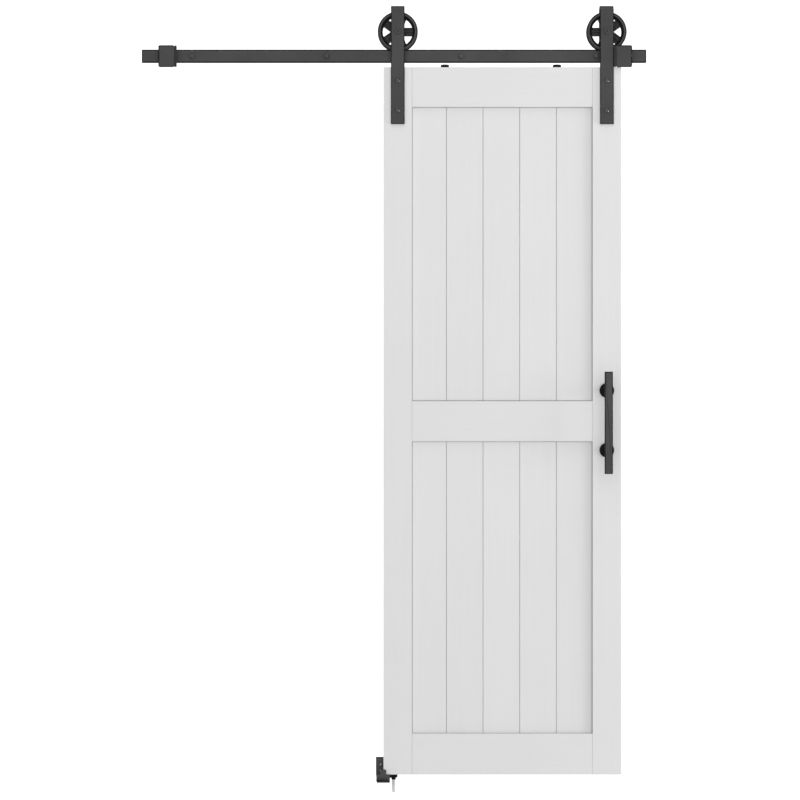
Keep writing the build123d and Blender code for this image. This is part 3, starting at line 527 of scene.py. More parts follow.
fixing_washer_radius = 9.0
fixing_washer_thickness = 1.6
sleeve_radius = 10.0
lag_head_across = 13.0
lag_head_height = 5.3
lag_shank_radius = 4.0
lag_thread_radius = 3.6
lag_ridge_height = 0.4
lag_ridge_pitch = 3.0
lag_depth = 58.0
lag_point = 9.0
fixing_coat = coated_steel("fixing_coat", 0.064, 0.045, 0.7, 0.45)
lag_seat = -track_front + fixing_washer_thickness
lag_shaft = turned(
    [(0.0, -lag_depth, 0.0)]
    + ridges(lag_thread_radius - lag_ridge_height, lag_ridge_height, lag_ridge_pitch, -lag_depth + lag_point, -2.0)
    + [(lag_shank_radius, 0.0, 0.0), (lag_shank_radius, lag_seat + 1, 0.0), (0.0, lag_seat + 1, 0.0)],
    closed=False, steps=24,
)
lag_head = plate([eased(hexagon(lag_head_across), 0.5, 2)], lag_seat, lag_seat + lag_head_height, 1.0)
fixing_rows = {"along": (fixing_count, fixing_pitch)}
piece("wall_screws", in_rows("wall_screws", joined(lag_head, lag_shaft), (0, 0, 0), fixing_coat, seed=3, **fixing_rows),
      "track", "black_steel", "track_screws")
piece("wall_screw_washers",
      in_rows("wall_screw_washers", washer(track_hole_radius, fixing_washer_radius, 0, fixing_washer_thickness),
              (0, track_front, 0), fixing_coat, seed=4, **fixing_rows),
      "track", "black_steel", "track_washers")
piece("wall_sleeves",
      in_rows("wall_sleeves", washer(track_hole_radius, sleeve_radius, 0, -track_back, 0.6),
              (0, 0, 0), fixing_coat, seed=5, **fixing_rows),
      "track", "black_steel", "wall_spacers")

# The end stops. Each is a steel block with a channel behind it that sits over the track, and a
# plate and two socket screws clamp it there. Its inner end carries a moulded rubber bumper.
stop_low, stop_high = -35.5, 30.1
stop_front, stop_back = -59.0, -51.5
stop_length = 47.8
stop_grip_length = 26.0
stop_corner = 3.0
stop_edge = 1.2
stop_border = 3.2
channel_half_height = 20.15
channel_front = -41.15
bumper_length = 7.0
bumper_front = -58.2
bumper_inset = 0.8
bumper_faces = {"left": (-655.1, -1), "right": (662.4, 1)}


def chamfered(x0, x1, z0, z1, corner):
    """A rectangle with its corners cut off, counter-clockwise, its cut sides marked as rounded."""
    return [
        (x0 + corner, z0, 0.0), (x1 - corner, z0, 1.0), (x1, z0 + corner, 0.0), (x1, z1 - corner, 1.0),
        (x1 - corner, z1, 0.0), (x0 + corner, z1, 1.0), (x0, z1 - corner, 0.0), (x0, z0 + corner, 1.0),
    ]


def stop_block(face, side):
    """The front block and the clamped channel behind its outer half."""
    inner = face + side * bumper_length
    outer = inner + side * stop_length
    block = upright([chamfered(min(inner, outer), max(inner, outer), stop_low, stop_high, stop_corner)],
                    stop_front, stop_back, stop_edge, 4, stop_border)
    edge = block.faces.layers.float["edge"]
    # The bottom and the bumper end keep little of the painted dark edge, so the painted shade lies along the top and
    # the outer end.
    for part in block.faces:
        middle = part.calc_center_median()
        if middle.z < stop_low + 5 or abs(middle.x - inner) < 4:
            part[edge] *= 0.15
    low, high = stop_low + stop_corner + 1.5, stop_high - stop_corner
    channel = [
        (stop_back - 0.5, low), (track_back, low), (track_back, -channel_half_height),
        (channel_front, -channel_half_height), (channel_front, channel_half_height),
        (track_back, channel_half_height), (track_back, high), (stop_back - 0.5, high),
    ]
    ends = sorted((outer - side * stop_grip_length, outer - side * stop_edge))
    return joined(block, lengthways(channel, *ends, 0.4, 2))


def rubber(name, level):
    """Moulded rubber: a dull skin with a fine grain, a little grey where it has been knocked."""
    material = bpy.data.materials.new(name)
    material.use_nodes = True
    tree = material.node_tree
    place = add(tree, "ShaderNodeTexCoord").outputs["Object"]
    grain = add(tree, "ShaderNodeTexNoise", {"Vector": place, "Scale": 1400.0, "Detail": 2.0})
    bloom = add(tree, "ShaderNodeTexNoise", {"Vector": place, "Scale": 45.0, "Detail": 5.0})
    dusty = spread(tree, bloom.outputs["Fac"], 0.45, 0.7, 0.0, 0.35)
    shader = tree.nodes["Principled BSDF"]
    mixed = blend_colour(tree, dusty, (level, level, level, 1), (2.4 * level, 2.4 * level, 2.3 * level, 1))
    tree.links.new(mixed, shader.inputs["Base Color"])
    tree.links.new(spread(tree, bloom.outputs["Fac"], 0.3, 0.7, 0.72, 0.9), shader.inputs["Roughness"])
    shader.inputs["Specular IOR Level"].default_value = 0.25
    bump = add(tree, "ShaderNodeBump", {"Strength": 0.4, "Distance": 0.0001, "Height": grain.outputs["Fac"]})
    tree.links.new(bump.outputs["Normal"], shader.inputs["Normal"])
    return material


def domed(radius, height, base, steps=9):
    """Outline points over a dome, from its rim to its pole."""
    ball = (radius**2 + height**2) / (2 * height)
    rise = []
    for step in range(steps + 1):
        across = radius * math.cos(math.pi / 2 * step / steps)
        rise.append((across, base + height - ball + math.sqrt(ball**2 - across**2), 0.0))
    return rise


def button_bolt(shank, head, height, socket, socket_depth, shank_low):
    """A dome-headed bolt about Z, its head's underside at z = 0, with a hexagon socket."""
    mouth = socket / math.sqrt(3)
    # The dome's outer rim is marked as an edge, so the coat paints it dark: a painted shade ring round the head.
    crown = [(r, z, float(r > 0.9 * head)) for r, z, _ in domed(head, height, 0.0, 14) if r > mouth * 1.25]
    rim_z = crown[-1][1] + 0.1
    outline = [(0.0, shank_low, 0.0), (shank - 0.5, shank_low, 1.0), (shank, shank_low + 0.5, 0.0),
               (shank, 0.0, 0.0), (head - 0.25, 0.0, 1.0), *crown,
               (mouth * 1.06, rim_z, 1.0), (mouth * 0.96, rim_z - 0.3, 0.0)]
    shape = turned(outline, closed=False, steps=48)
    edge = shape.faces.layers.float["edge"]
    lip = [v for v in shape.verts if abs(v.co.z - (rim_z - 0.3)) < 1e-5 and math.hypot(v.co.x, v.co.y) < mouth]
    lip.sort(key=lambda v: math.atan2(v.co.y, v.co.x))
    floor = []
    for vert in lip:
        angle = math.atan2(vert.co.y, vert.co.x)
        sector = (angle + math.pi / 6) % (math.pi / 3) - math.pi / 6
        reach = min(socket / 2 / math.cos(sector), mouth * 0.96)
        floor.append(shape.verts.new((reach * math.cos(angle), reach * math.sin(angle), rim_z - socket_depth)))
    # The socket's walls and floor take the painted dark edge: painted shade inside the socket.
    for k in range(len(lip)):
        after = (k + 1) % len(lip)
        shape.faces.new((lip[k], lip[after], floor[after], floor[k]))[edge] = 1.0
    shape.faces.new(floor)[edge] = 1.0
    bmesh.ops.recalc_face_normals(shape, faces=shape.faces)
    return shape


clamp_low, clamp_high = -30.8, 26.3
clamp_thickness = 6.0
clamp_screw_low, clamp_screw_high = -27.3, 24.9
grips = []
stop_coat = coated_steel("stop_coat", 0.062, 0.005, 0.5, 0.5)
bumper_rubber = rubber("bumper_rubber", 0.024)
for label, (face, side) in bumper_faces.items():
    piece(f"{label}_stop_block", to_mesh(f"{label}_stop_block", stop_block(face, side), stop_coat),
          "track", "black_steel", f"{label}_stop")
    far = face + side * bumper_length
    pad = upright([chamfered(min(face, far), max(face, far), stop_low + bumper_inset, stop_high - bumper_inset, 1.2)],
                  bumper_front, stop_back, 0.9)
    piece(f"{label}_bumper", to_mesh(f"{label}_bumper", pad, bumper_rubber), "track", "black_rubber",
          f"{label}_stop_bumper")
    grip = face + side * (bumper_length + stop_length - stop_grip_length / 2)
    clamp = upright([box_outline(grip - stop_grip_length / 2 + 1, grip + stop_grip_length / 2 - 1, clamp_low, clamp_high)],
                    track_back, track_back + clamp_thickness, 0.8)
    piece(f"{label}_rear_plate", to_mesh(f"{label}_rear_plate", clamp, stop_coat), "track", "black_steel",
          f"{label}_clamp_plate")
    grips.append(grip)
clamp_screw = button_bolt(2.0, 3.4, 2.4, 2.5, 1.3, -22.0)
moved(clamp_screw, Matrix.Rotation(math.pi, 4, "X"))
piece("rear_clamp_screws",
      in_rows("rear_clamp_screws", clamp_screw,
              ((grips[0] + grips[1]) / 2, track_back + clamp_thickness, (clamp_screw_low + clamp_screw_high) / 2),
              fixing_coat, along=(2, grips[1] - grips[0]), up=(2, clamp_screw_high - clamp_screw_low), seed=6),
      "track", "black_steel", "stop_clamp_screws")

# The frame of the door. Two stiles and three rails of dressed pine, doweled, primed and painted
# white with a roller. Their grain only just shows through, upright in the stiles, level in the rails.


def timber_group():
    """Rolled paint over timber: raised grain along one axis, roller stipple, slow tone changes, and painted shade on
    marked edges and where a shade mask is given.
    """
    tree, given, wanted = new_group(
        "rolled paint on timber",
        {
            "Colour": ("NodeSocketColor", (0.7, 0.7, 0.7, 1)),
            "Seam Shade Colour": ("NodeSocketColor", (0.2, 0.2, 0.2, 1)),
            "Grain": ("NodeSocketVector", (150.0, 150.0, 3.5)),
            "Shade": ("NodeSocketFloat", 0.0),
        },
        {"Colour": "NodeSocketColor", "Roughness": "NodeSocketFloat", "Height": "NodeSocketFloat"},
    )
    place = add(tree, "ShaderNodeTexCoord").outputs["Object"]
    copy = add(tree, "ShaderNodeAttribute", attribute_name="copy").outputs["Fac"]
    edge = add(tree, "ShaderNodeAttribute", attribute_name="edge").outputs["Fac"]
    shift = add(tree, "ShaderNodeCombineXYZ", {1: copy, 2: calculate(tree, "MULTIPLY", copy, 9.0)}).outputs[0]
    own = add(tree, "ShaderNodeVectorMath", {0: place, 1: shift}, operation="ADD").outputs[0]
    drawn = add(tree, "ShaderNodeVectorMath", {0: own, 1: given["Grain"]}, operation="MULTIPLY").outputs[0]
    grain = add(tree, "ShaderNodeTexNoise", {"Vector": drawn, "Scale": 1.0, "Detail": 5.0, "Distortion": 0.6})
    stipple = add(tree, "ShaderNodeTexNoise", {"Vector": place, "Scale": 420.0, "Detail": 2.0})
    tone = add(tree, "ShaderNodeTexNoise", {"Vector": own, "Scale": 2.6, "Detail": 3.0})
    shade = spread(tree, tone.outputs["Fac"], 0.3, 0.7, 0.988, 1.008)
    shade = calculate(tree, "MULTIPLY", shade, spread(tree, grain.outputs["Fac"], 0.3, 0.75, 1.005, 0.984))
    shade = calculate(tree, "ADD", shade, calculate(tree, "MULTIPLY", copy, 0.01))
    # Marked edges are painted darker: painted shade along eased edges, joints and the boards' vees.
    shade = calculate(tree, "SUBTRACT", shade, calculate(tree, "MULTIPLY", edge, 0.25))
    shade_colour = add(tree, "ShaderNodeCombineXYZ", {0: shade, 1: shade, 2: shade}).outputs[0]
    toned = blend_colour(tree, 1.0, given["Colour"], shade_colour, "MULTIPLY")
    # The shade input blends in the seam shade colour: painted shade along the frame.
    tree.links.new(blend_colour(tree, given["Shade"], toned, given["Seam Shade Colour"]), wanted["Colour"])
    rough = calculate(tree, "SUBTRACT", spread(tree, stipple.outputs["Fac"], 0.3, 0.7, 0.44, 0.58),
                      calculate(tree, "MULTIPLY", edge, 0.1))
    tree.links.new(rough, wanted["Roughness"])
    relief = calculate(tree, "ADD", calculate(tree, "MULTIPLY", grain.outputs["Fac"], 0.8),
                       calculate(tree, "MULTIPLY", stipple.outputs["Fac"], 0.35))
    tree.links.new(relief, wanted["Height"])
    return tree


painted_timber = timber_group()
upright_grain = (150.0, 150.0, 3.5)
level_grain = (3.5, 150.0, 150.0)


def painted_wood(name, grain):
    """A material of white paint over timber with its grain one way. Returns its paint node too."""
    material = bpy.data.materials.new(name)
    material.use_nodes = True
    tree = material.node_tree
    film = add(tree, "ShaderNodeGroup", node_tree=painted_timber)
    film.inputs["Colour"].default_value = (0.71, 0.71, 0.71, 1)
    film.inputs["Seam Shade Colour"].default_value = (0.13, 0.13, 0.13, 1)
    film.inputs["Grain"].default_value = grain
    shader = tree.nodes["Principled BSDF"]
    shader.inputs["Specular IOR Level"].default_value = 0.35
    bump = add(tree, "ShaderNodeBump", {"Strength": 0.35, "Distance": 0.0003, "Height": film.outputs["Height"]})
    tree.links.new(film.outputs["Colour"], shader.inputs["Base Color"])
    tree.links.new(film.outputs["Roughness"], shader.inputs["Roughness"])
    tree.links.new(bump.outputs["Normal"], shader.inputs["Normal"])
    return material, film


door_left, door_right = -31.95, 684.85
door_top, door_bottom = -34.8, -2168.4
door_front, door_back = -50.5, -12.5
stile_width = 86.5
frame_ease = 0.9
panel_left, panel_right = door_left + stile_width, door_right - stile_width
rail_heights = {"top": (-155.2, door_top), "mid": (-1163.5, -1041.5), "bottom": (door_bottom, -2044.4)}
stile_paint = painted_wood("stile_paint", upright_grain)[0]
rail_paint = painted_wood("rail_paint", level_grain)[0]
for label, x0, x1 in (("left", door_left, panel_left), ("right", panel_right, door_right)):
    post = plate([eased(box_outline(x0, x1, door_front, door_back), frame_ease)], door_bottom, door_top, frame_ease)
    joint_shade = post.faces.layers.float["edge"]
    # The right stile's inner side is painted dark and the left stile's inner border keeps little of its dark edge:
    # painted shade as cast by light from the right.
    for part in post.faces:
        if label == "right" and part.normal.x < -0.99:
            part[joint_shade] = 3.8
        elif label == "left" and part.normal.x > 0.1:
            part[joint_shade] *= 0.2
    piece(f"{label}_post", to_mesh(f"{label}_post", post, stile_paint), "door", "white_wood", f"{label}_stile")
for label, (low, high) in rail_heights.items():
    beam = lengthways(eased(box_outline(door_front, door_back, low, high), frame_ease),
                      panel_left, panel_right, 0.5)
    joint_shade = beam.faces.layers.float["edge"]
    # The bottom rail's top face is painted darker: painted shade along the foot of the lower panel.
    for part in beam.faces:
        if label == "bottom" and part.normal.z > 0.99:
            part[joint_shade] = 1.5
    piece(f"{label}_beam", to_mesh(f"{label}_beam", beam, rail_paint), "door", "white_wood", f"{label}_rail")

# The boards. Five tongued boards stand side by side above the middle rail and five below it, with
# a rounded vee where they meet. Their ends and the outer ones' sides are housed in the frame.
board_count = 5
board_pitch = 110.7
board_gap = 0.5
board_thickness = 22.0
board_vee = 1.2
board_tongue_reach = 6.0
board_tongue_thickness = 7.0
board_housed = 9.9
board_row_middle = 323.95
door_middle_y = (door_front + door_back) / 2
seam_width = 1.6


def seam_group():
    """Painted shade in the corner where boards meet the frame: 1 at a panel's edge, 0 a little way in."""
    tree, given, wanted = new_group(
        "shade along the frame",
        {
            "Left": ("NodeSocketFloat", 0.0),
            "Right": ("NodeSocketFloat", 0.6),
            "Low": ("NodeSocketFloat", -1.0),
            "High": ("NodeSocketFloat", 0.0),
            "Width": ("NodeSocketFloat", 0.002),
        },
        {"Shade": "NodeSocketFloat"},
    )
    place = add(tree, "ShaderNodeTexCoord").outputs["Object"]
    split = add(tree, "ShaderNodeSeparateXYZ", {0: place}).outputs
    across = calculate(tree, "MINIMUM", calculate(tree, "SUBTRACT", split[0], given["Left"]),
                       calculate(tree, "SUBTRACT", given["Right"], split[0]))
    up = calculate(tree, "MINIMUM", calculate(tree, "SUBTRACT", split[2], given["Low"]),
                   calculate(tree, "SUBTRACT", given["High"], split[2]))
    nearest = calculate(tree, "DIVIDE", calculate(tree, "MINIMUM", across, up), given["Width"])
    tree.links.new(spread(tree, nearest, 0.25, 1.0, 0.9, 0.0), wanted["Shade"])
    return tree


frame_shade = seam_group()


def board(length):
    """One board about its own middle, with a tongue on its right side."""
    half = (board_pitch - board_gap) / 2
    thick = board_thickness / 2
    section = [
        (-half + board_vee, -thick), (half - board_vee, -thick), (half, -thick + board_vee),
        (half, thick - board_vee), (half - board_vee, thick), (-half + board_vee, thick),
        (-half, thick - board_vee), (-half, -thick + board_vee),
    ]
    softened = eased(section, 0.7, 2)
    # Strips along the vees are marked at half, so the paint is painted darker there: painted shade in the vees.
    for k, (x, y, _) in enumerate(softened):
        after = softened[(k + 1) % len(softened)]
        softened[k] = (x, y, 0.5 * (x * after[0] > 0 and min(abs(x), abs(after[0])) > half - board_vee - 0.4))
    plank = plate([softened], -length / 2, length / 2)
    for face in plank.faces:
        if abs(face.normal.z) > 0.9:
            face[plank.faces.layers.float["edge"]] = 0.0
    tongue = board_tongue_thickness / 2
    strip = plate([box_outline(half - 1, half + board_tongue_reach, -tongue, tongue)], -length / 2, length / 2)
    return joined(plank, strip)


for row, low, high, low_shade, high_shade in (("upper", rail_heights["mid"][1], rail_heights["top"][0], 0.6, 0.1),
                                              ("lower", rail_heights["bottom"][1], rail_heights["mid"][0], -1.0, 0.3)):
    board_paint, film = painted_wood(f"{row}_board_paint", upright_grain)
    seam = add(board_paint.node_tree, "ShaderNodeGroup", node_tree=frame_shade)
    # The painted shade's edges are moved in or out for each side and row on their own, so it is deeper along some sides
    # than others.
    edges = {"Left": panel_left + 0.35, "Right": panel_right + 0.25, "Low": low + low_shade,
             "High": high + high_shade, "Width": seam_width}
    for label, value in edges.items():
        seam.inputs[label].default_value = 0.001 * value
    board_paint.node_tree.links.new(seam.outputs["Shade"], film.inputs["Shade"])
    boards = through_tree(f"{row}_boards", board(high - low + 2 * board_housed), piece_rows, {
        "Count Along": board_count, "Pitch Along": board_pitch, "Count Up": 1, "Pitch Up": 0.0,
        "Seed": 11 if row == "upper" else 12, "Finish": board_paint,
    })
    boards.transform(Matrix.Translation((board_row_middle, door_middle_y, (low + high) / 2)))
    piece(f"{row}_boards", boards, "door", "white_wood", *[f"{row}_plank_{k}" for k in range(1, board_count + 1)])

# The dowels. Fluted pegs of bare beech, glued into the frame's joints and out of sight.


def bare_wood(name, pale, dark, along):
    """Clean turned hardwood with a fine straight grain."""
    material = bpy.data.materials.new(name)
    material.use_nodes = True
    tree = material.node_tree
    place = add(tree, "ShaderNodeTexCoord").outputs["Object"]
    drawn = add(tree, "ShaderNodeVectorMath", {0: place, 1: along}, operation="MULTIPLY").outputs[0]
    grain = add(tree, "ShaderNodeTexNoise", {"Vector": drawn, "Scale": 1.0, "Detail": 6.0, "Distortion": 0.8})
    streak = spread(tree, grain.outputs["Fac"], 0.35, 0.7, 0.0, 1.0)
    shader = tree.nodes["Principled BSDF"]
    tree.links.new(blend_colour(tree, streak, (*pale, 1), (*dark, 1)), shader.inputs["Base Color"])
    tree.links.new(spread(tree, streak, 0.0, 1.0, 0.55, 0.7), shader.inputs["Roughness"])
    bump = add(tree, "ShaderNodeBump", {"Strength": 0.3, "Distance": 0.0002, "Height": grain.outputs["Fac"]})
    tree.links.new(bump.outputs["Normal"], shader.inputs["Normal"])
    return material


paint("frame_dowels", bare_wood("bare_beech", (0.6, 0.4, 0.24), (0.42, 0.25, 0.13), (14.0, 420.0, 420.0)))

# The hangers. Each is one length of flat steel bar, bent hot over a former so that it passes over
# the roller and comes down behind it, then drilled and coated.
hanger_places = (11.3, 641.6)
strap_half_width = 20.5
strap_thickness = 6.0
strap_ease = 0.8
strap_border = 2.4
strap_front = -56.5
strap_front_middle = -53.5
strap_rear_middle = -22.5
strap_bottom = -206.5
strap_rear_bottom = 46.3
strap_bend_z = 133.5
strap_bend_radius = 15.5
track_middle_y = -38.0


def strap_section(steps=4):
    """The rolled bar's section, whose corners fall away over a wide border."""
    half = strap_thickness / 2
    section = []
    for quarter, (side, face) in enumerate(((-1, -1), (1, -1), (1, 1), (-1, 1))):
        for step in range(steps + 1):
            turn = math.pi + math.pi / 2 * (quarter + step / steps)
            across = side * (strap_half_width - strap_border) + strap_border * math.cos(turn)
            out = face * (half - strap_ease) + strap_ease * math.sin(turn)
            section.append((across, out, float(step < steps)))
    return section


def strap(x):
    """The bar's rounded section carried along the front leg, the bend and the rear leg."""
    section = strap_section()
    small = drawn_in(section, 0.6 * strap_ease)
    bend_steps = 28
    path = [(strap_front_middle, strap_bottom, 0.0), (strap_front_middle, strap_bottom + 0.2 * strap_border, 0.0),
            (strap_front_middle, strap_bottom + strap_border, 0.0)]
    for step in range(bend_steps + 1):
        turn = math.pi * step / bend_steps
        path.append((track_middle_y - strap_bend_radius * math.cos(turn),
                     strap_bend_z + strap_bend_radius * math.sin(turn), turn))
    path += [(strap_rear_middle, strap_rear_bottom + strap_border, math.pi),
             (strap_rear_middle, strap_rear_bottom + 0.2 * strap_border, math.pi),
             (strap_rear_middle, strap_rear_bottom, math.pi)]
    last = len(path) - 1
    shares = {0: 1.0, 1: 0.3, last - 1: 0.3, last: 1.0}
    shape = bmesh.new()
    edge = shape.faces.layers.float.new("edge")
    shape.faces.layers.float.new("raised")
    rings = []
    for index, (y, z, turn) in enumerate(path):
        share = shares.get(index, 0.0)
        ring = []
        for k in range(len(section)):
            across = section[k][0] + (small[k].x - section[k][0]) * share
            out = section[k][1] + (small[k].y - section[k][1]) * share
            ring.append(shape.verts.new((x + across, y + out * math.cos(turn), z - out * math.sin(turn))))
        rings.append(ring)
    # The rounded borders and the leg ends are marked as edges, so the coat paints them dark: painted shade along the
    # strap's outline.
    for index in range(last):
        for k in range(len(section)):
            after = (k + 1) % len(section)
            face = shape.faces.new((rings[index][k], rings[index][after], rings[index + 1][after], rings[index + 1][k]))
            face[edge] = max(section[k][2], float(index in (0, 1, last - 2, last - 1)))
    shape.faces.new(rings[0])
    shape.faces.new(rings[-1])
    bmesh.ops.recalc_face_normals(shape, faces=shape.faces)
    return shape


strap_coat = coated_steel("strap_coat", 0.06, 0.01, 0.5, 0.52)
for label, x in zip(("left", "right"), hanger_places):
    piece(f"{label}_strap", to_mesh(f"{label}_strap", strap(x), strap_coat), "door", "black_steel",
          f"{label}_hanger_strap")

# The hanger bolts. Button-headed bolts go through strap and stile into cap nuts on washers behind.
# Their heads are blacked, glossier than the straps, and rubbed a little by the key.
bolt_radius = 4.0
bolt_head_radius = 7.0
bolt_head_height = 4.2
bolt_socket_across = 5.0
bolt_socket_depth = 2.4
bolt_lower_z = -166.5
bolt_pitch_up = 90.0
bolt_end = 5.0
bolt_washer_radius = 11.0
bolt_washer_thickness = 1.6
cap_nut_across = 13.0
cap_nut_height = 5.0
cap_nut_dome = 2.0
hanger_pitch = hanger_places[1] - hanger_places[0]
hanger_middle = (hanger_places[0] + hanger_places[1]) / 2
bolt_rows = {"along": (2, hanger_pitch), "up": (2, bolt_pitch_up)}
bolt_middle_z = bolt_lower_z + bolt_pitch_up / 2


def cap_nut(across, height, dome_height):
    """A closed nut about Z with its seat at z = 0 and its cap below."""
    dome_radius = across / 2 - 0.7
    cap = [(radius, -z, 0.0) for radius, z, _ in domed(dome_radius, dome_height, height - 0.1)]
    cap = turned([(0.0, -1.0, 0.0), (dome_radius, -1.0, 0.0), *cap[:-1], (0.0, cap[-1][1], 0.0)],
                 closed=False, steps=40)
    return joined(plate([hexagon(across)], -height, 0, 0.7, 2), cap)


bolt_coat = coated_steel("bolt_coat", 0.034, 0.003, 0.5, 0.1, 1.0, None, (900.0, 0.00003))
hanger_bolt = button_bolt(bolt_radius, bolt_head_radius, bolt_head_height, bolt_socket_across, bolt_socket_depth,
                          strap_front - door_back - bolt_end)
piece("strap_bolts", in_rows("strap_bolts", hanger_bolt, (hanger_middle, strap_front, bolt_middle_z),
                             bolt_coat, seed=21, **bolt_rows),
      "door", "black_steel", "hanger_bolts")
piece("strap_bolt_washers",
      in_rows("strap_bolt_washers", washer(bolt_radius + 0.25, bolt_washer_radius, -bolt_washer_thickness, 0),
              (hanger_middle, door_back, bolt_middle_z), bolt_coat, seed=22, **bolt_rows),
      "door", "black_steel", "hanger_washers")
piece("cap_nuts",
      in_rows("cap_nuts", cap_nut(cap_nut_across, cap_nut_height, cap_nut_dome),
              (hanger_middle, door_back + bolt_washer_thickness, bolt_middle_z), bolt_coat, seed=23, **bolt_rows),
      "door", "black_steel", "hanger_nuts")

# The axles. A turned pin with a low round head and a hexagon socket goes through both legs of the
# hanger. Bushes keep the bearing in the middle, and a thin nut holds the pin behind.
axle_z = 73.3
axle_radius = 5.0
axle_head_radius = 10.0
axle_head_height = 1.4
axle_socket_radius = 3.0
axle_back = -13.0
rear_leg_back = -19.5
thin_nut_across = 17.0
thin_nut_height = 5.0


def axle_pin():
    """The pin about Z, its head's underside at z = 0."""
    low = strap_front - axle_back
    top = axle_head_height
    return turned([
        (0.0, low, 0.0), (axle_radius - 0.6, low, 1.0), (axle_radius, low + 0.6, 0.0), (axle_radius, 0.0, 0.0),
        (axle_head_radius, 0.0, 0.0), (axle_head_radius, top - 0.6, 1.0), (axle_head_radius - 0.35, top - 0.2, 1.0),
        (axle_head_radius - 0.9, top, 0.0), (axle_socket_radius + 0.5, top, 1.0),
        (axle_socket_radius, top - 0.4, 1.0), (axle_socket_radius, top - 3.6, 1.0), (0.0, top - 4.0, 0.0),
    ], closed=False, steps=48)


# The pin's head rim and socket are marked as edges and take the painted dark edge: painted shade.
axle_coat = coated_steel("axle_coat", 0.06, 0.03, 0.5, 0.45)
for label, x in zip(("left", "right"), hanger_places):
    pin = moved(axle_pin(), facing(x, strap_front, axle_z))
    piece(f"{label}_axle_pin", to_mesh(f"{label}_axle_pin", pin, axle_coat), "door", "black_steel", f"{label}_axle")
thin_nut = plate([hexagon(thin_nut_across), circle(0, 0, axle_radius, 36)], -thin_nut_height, 0, 0.8)
piece("thin_nuts", in_rows("thin_nuts", thin_nut, (hanger_middle, rear_leg_back, axle_z), bolt_coat,
                           along=(2, hanger_pitch), seed=31),
      "door", "black_steel", "axle_nuts")
paint("axle_bushes", fixing_coat)

# The rollers. Cast wheels with a grooved rim that straddles the track, a thin web with five windows,
# three ribs along each spoke, and a hub that a sealed bearing is pressed into.
spoke_count = 5
tread_radius = 53.0
flange_radius = 60.5
wheel_half_width = 10.0
groove_half_width = 4.0
rim_inner_radius = 45.3
rim_ring_width = 7.6
rim_border = 4.8
rim_recess = 2.6
rim_corner = 1.2
hub_radius = 19.0
hub_half_length = 8.5
hub_lip_radius = 13.0
bearing_radius = 15.0
bearing_half_width = 4.5
web_half_thickness = 3.0
spoke_half_width = 12.4
window_corner = 2.4
rib_width = 3.4
rib_half_thickness = 5.5


def rim():
    """The grooved rim as one turned ring. Its two proud faces are marked as raised, so the coat paints them lighter:
    painted light, with the recessed rest left dark as painted shade.
    """
    face = wheel_half_width - rim_recess
    ring = flange_radius - rim_corner - rim_ring_width
    outline = [
        (flange_radius, groove_half_width + 0.5), (flange_radius, wheel_half_width),
        (ring, wheel_half_width), (ring - rim_corner, face), (rim_inner_radius, face),
        (rim_inner_radius, -face), (ring - rim_corner, -face), (ring, -wheel_half_width),
        (flange_radius, -wheel_half_width), (flange_radius, -groove_half_width - 0.5),
        (tread_radius, -groove_half_width), (tread_radius, groove_half_width),
    ]
    border = flange_radius - rim_border
    points = []
    for radius, z, _ in eased(outline, rim_corner, 4):
        if points and (points[-1][0] - border) * (radius - border) < 0:
            share = (border - points[-1][0]) / (radius - points[-1][0])
            points.append((border, points[-1][1] + share * (z - points[-1][1]), 0.0))
        points.append((radius, z, 0.0))
    shape = turned(points, steps=128)
    raised = shape.faces.layers.float["raised"]
    for part in shape.faces:
        middle = part.calc_center_median()
        if abs(middle.z) > wheel_half_width - 0.15 and middle.xy.length > ring:
            part[raised] = 0.45 if middle.xy.length > border else 0.9
    return shape


def hub():
    """The hub with its bearing seat open at the back and a lip in front."""
    outline = [
        (hub_radius, -hub_half_length), (hub_radius, hub_half_length), (hub_lip_radius, hub_half_length),
        (hub_lip_radius, bearing_half_width), (bearing_radius, bearing_half_width), (bearing_radius, -hub_half_length),
    ]
    return turned(eased(outline, 0.8, 3), steps=72)


def window_side():
    """Points on one side of a spoke from the hub to the rim, along two half windows' corners."""
    half_turn = math.pi / spoke_count
    inset = spoke_half_width + window_corner
    apex = inset / math.sin(half_turn)
    apex_centre = Vector((apex * math.cos(half_turn), apex * math.sin(half_turn)))
    corner_centre = Vector((math.sqrt((rim_inner_radius - window_corner) ** 2 - inset**2), inset))
    points = []
    for step in range(5):
        turn = half_turn + math.pi + (math.pi / 2 - half_turn) * step / 4
        points.append(apex_centre + window_corner * Vector((math.cos(turn), math.sin(turn))))
    corner_end = math.atan2(corner_centre.y, corner_centre.x)
    for step in range(6):
        turn = 1.5 * math.pi + (math.pi / 2 + corner_end) * step / 5
        points.append(corner_centre + window_corner * Vector((math.cos(turn), math.sin(turn))))
    for step in range(1, 4):
        turn = corner_end + (half_turn - corner_end) * step / 3
        points.append(rim_inner_radius * Vector((math.cos(turn), math.sin(turn))))
    return points


def arc(radius, start, end, steps):
    """Points on a circle about the axle."""
    turns = [start + (end - start) * step / steps for step in range(steps + 1)]
    return [Vector((radius * math.cos(turn), radius * math.sin(turn))) for turn in turns]


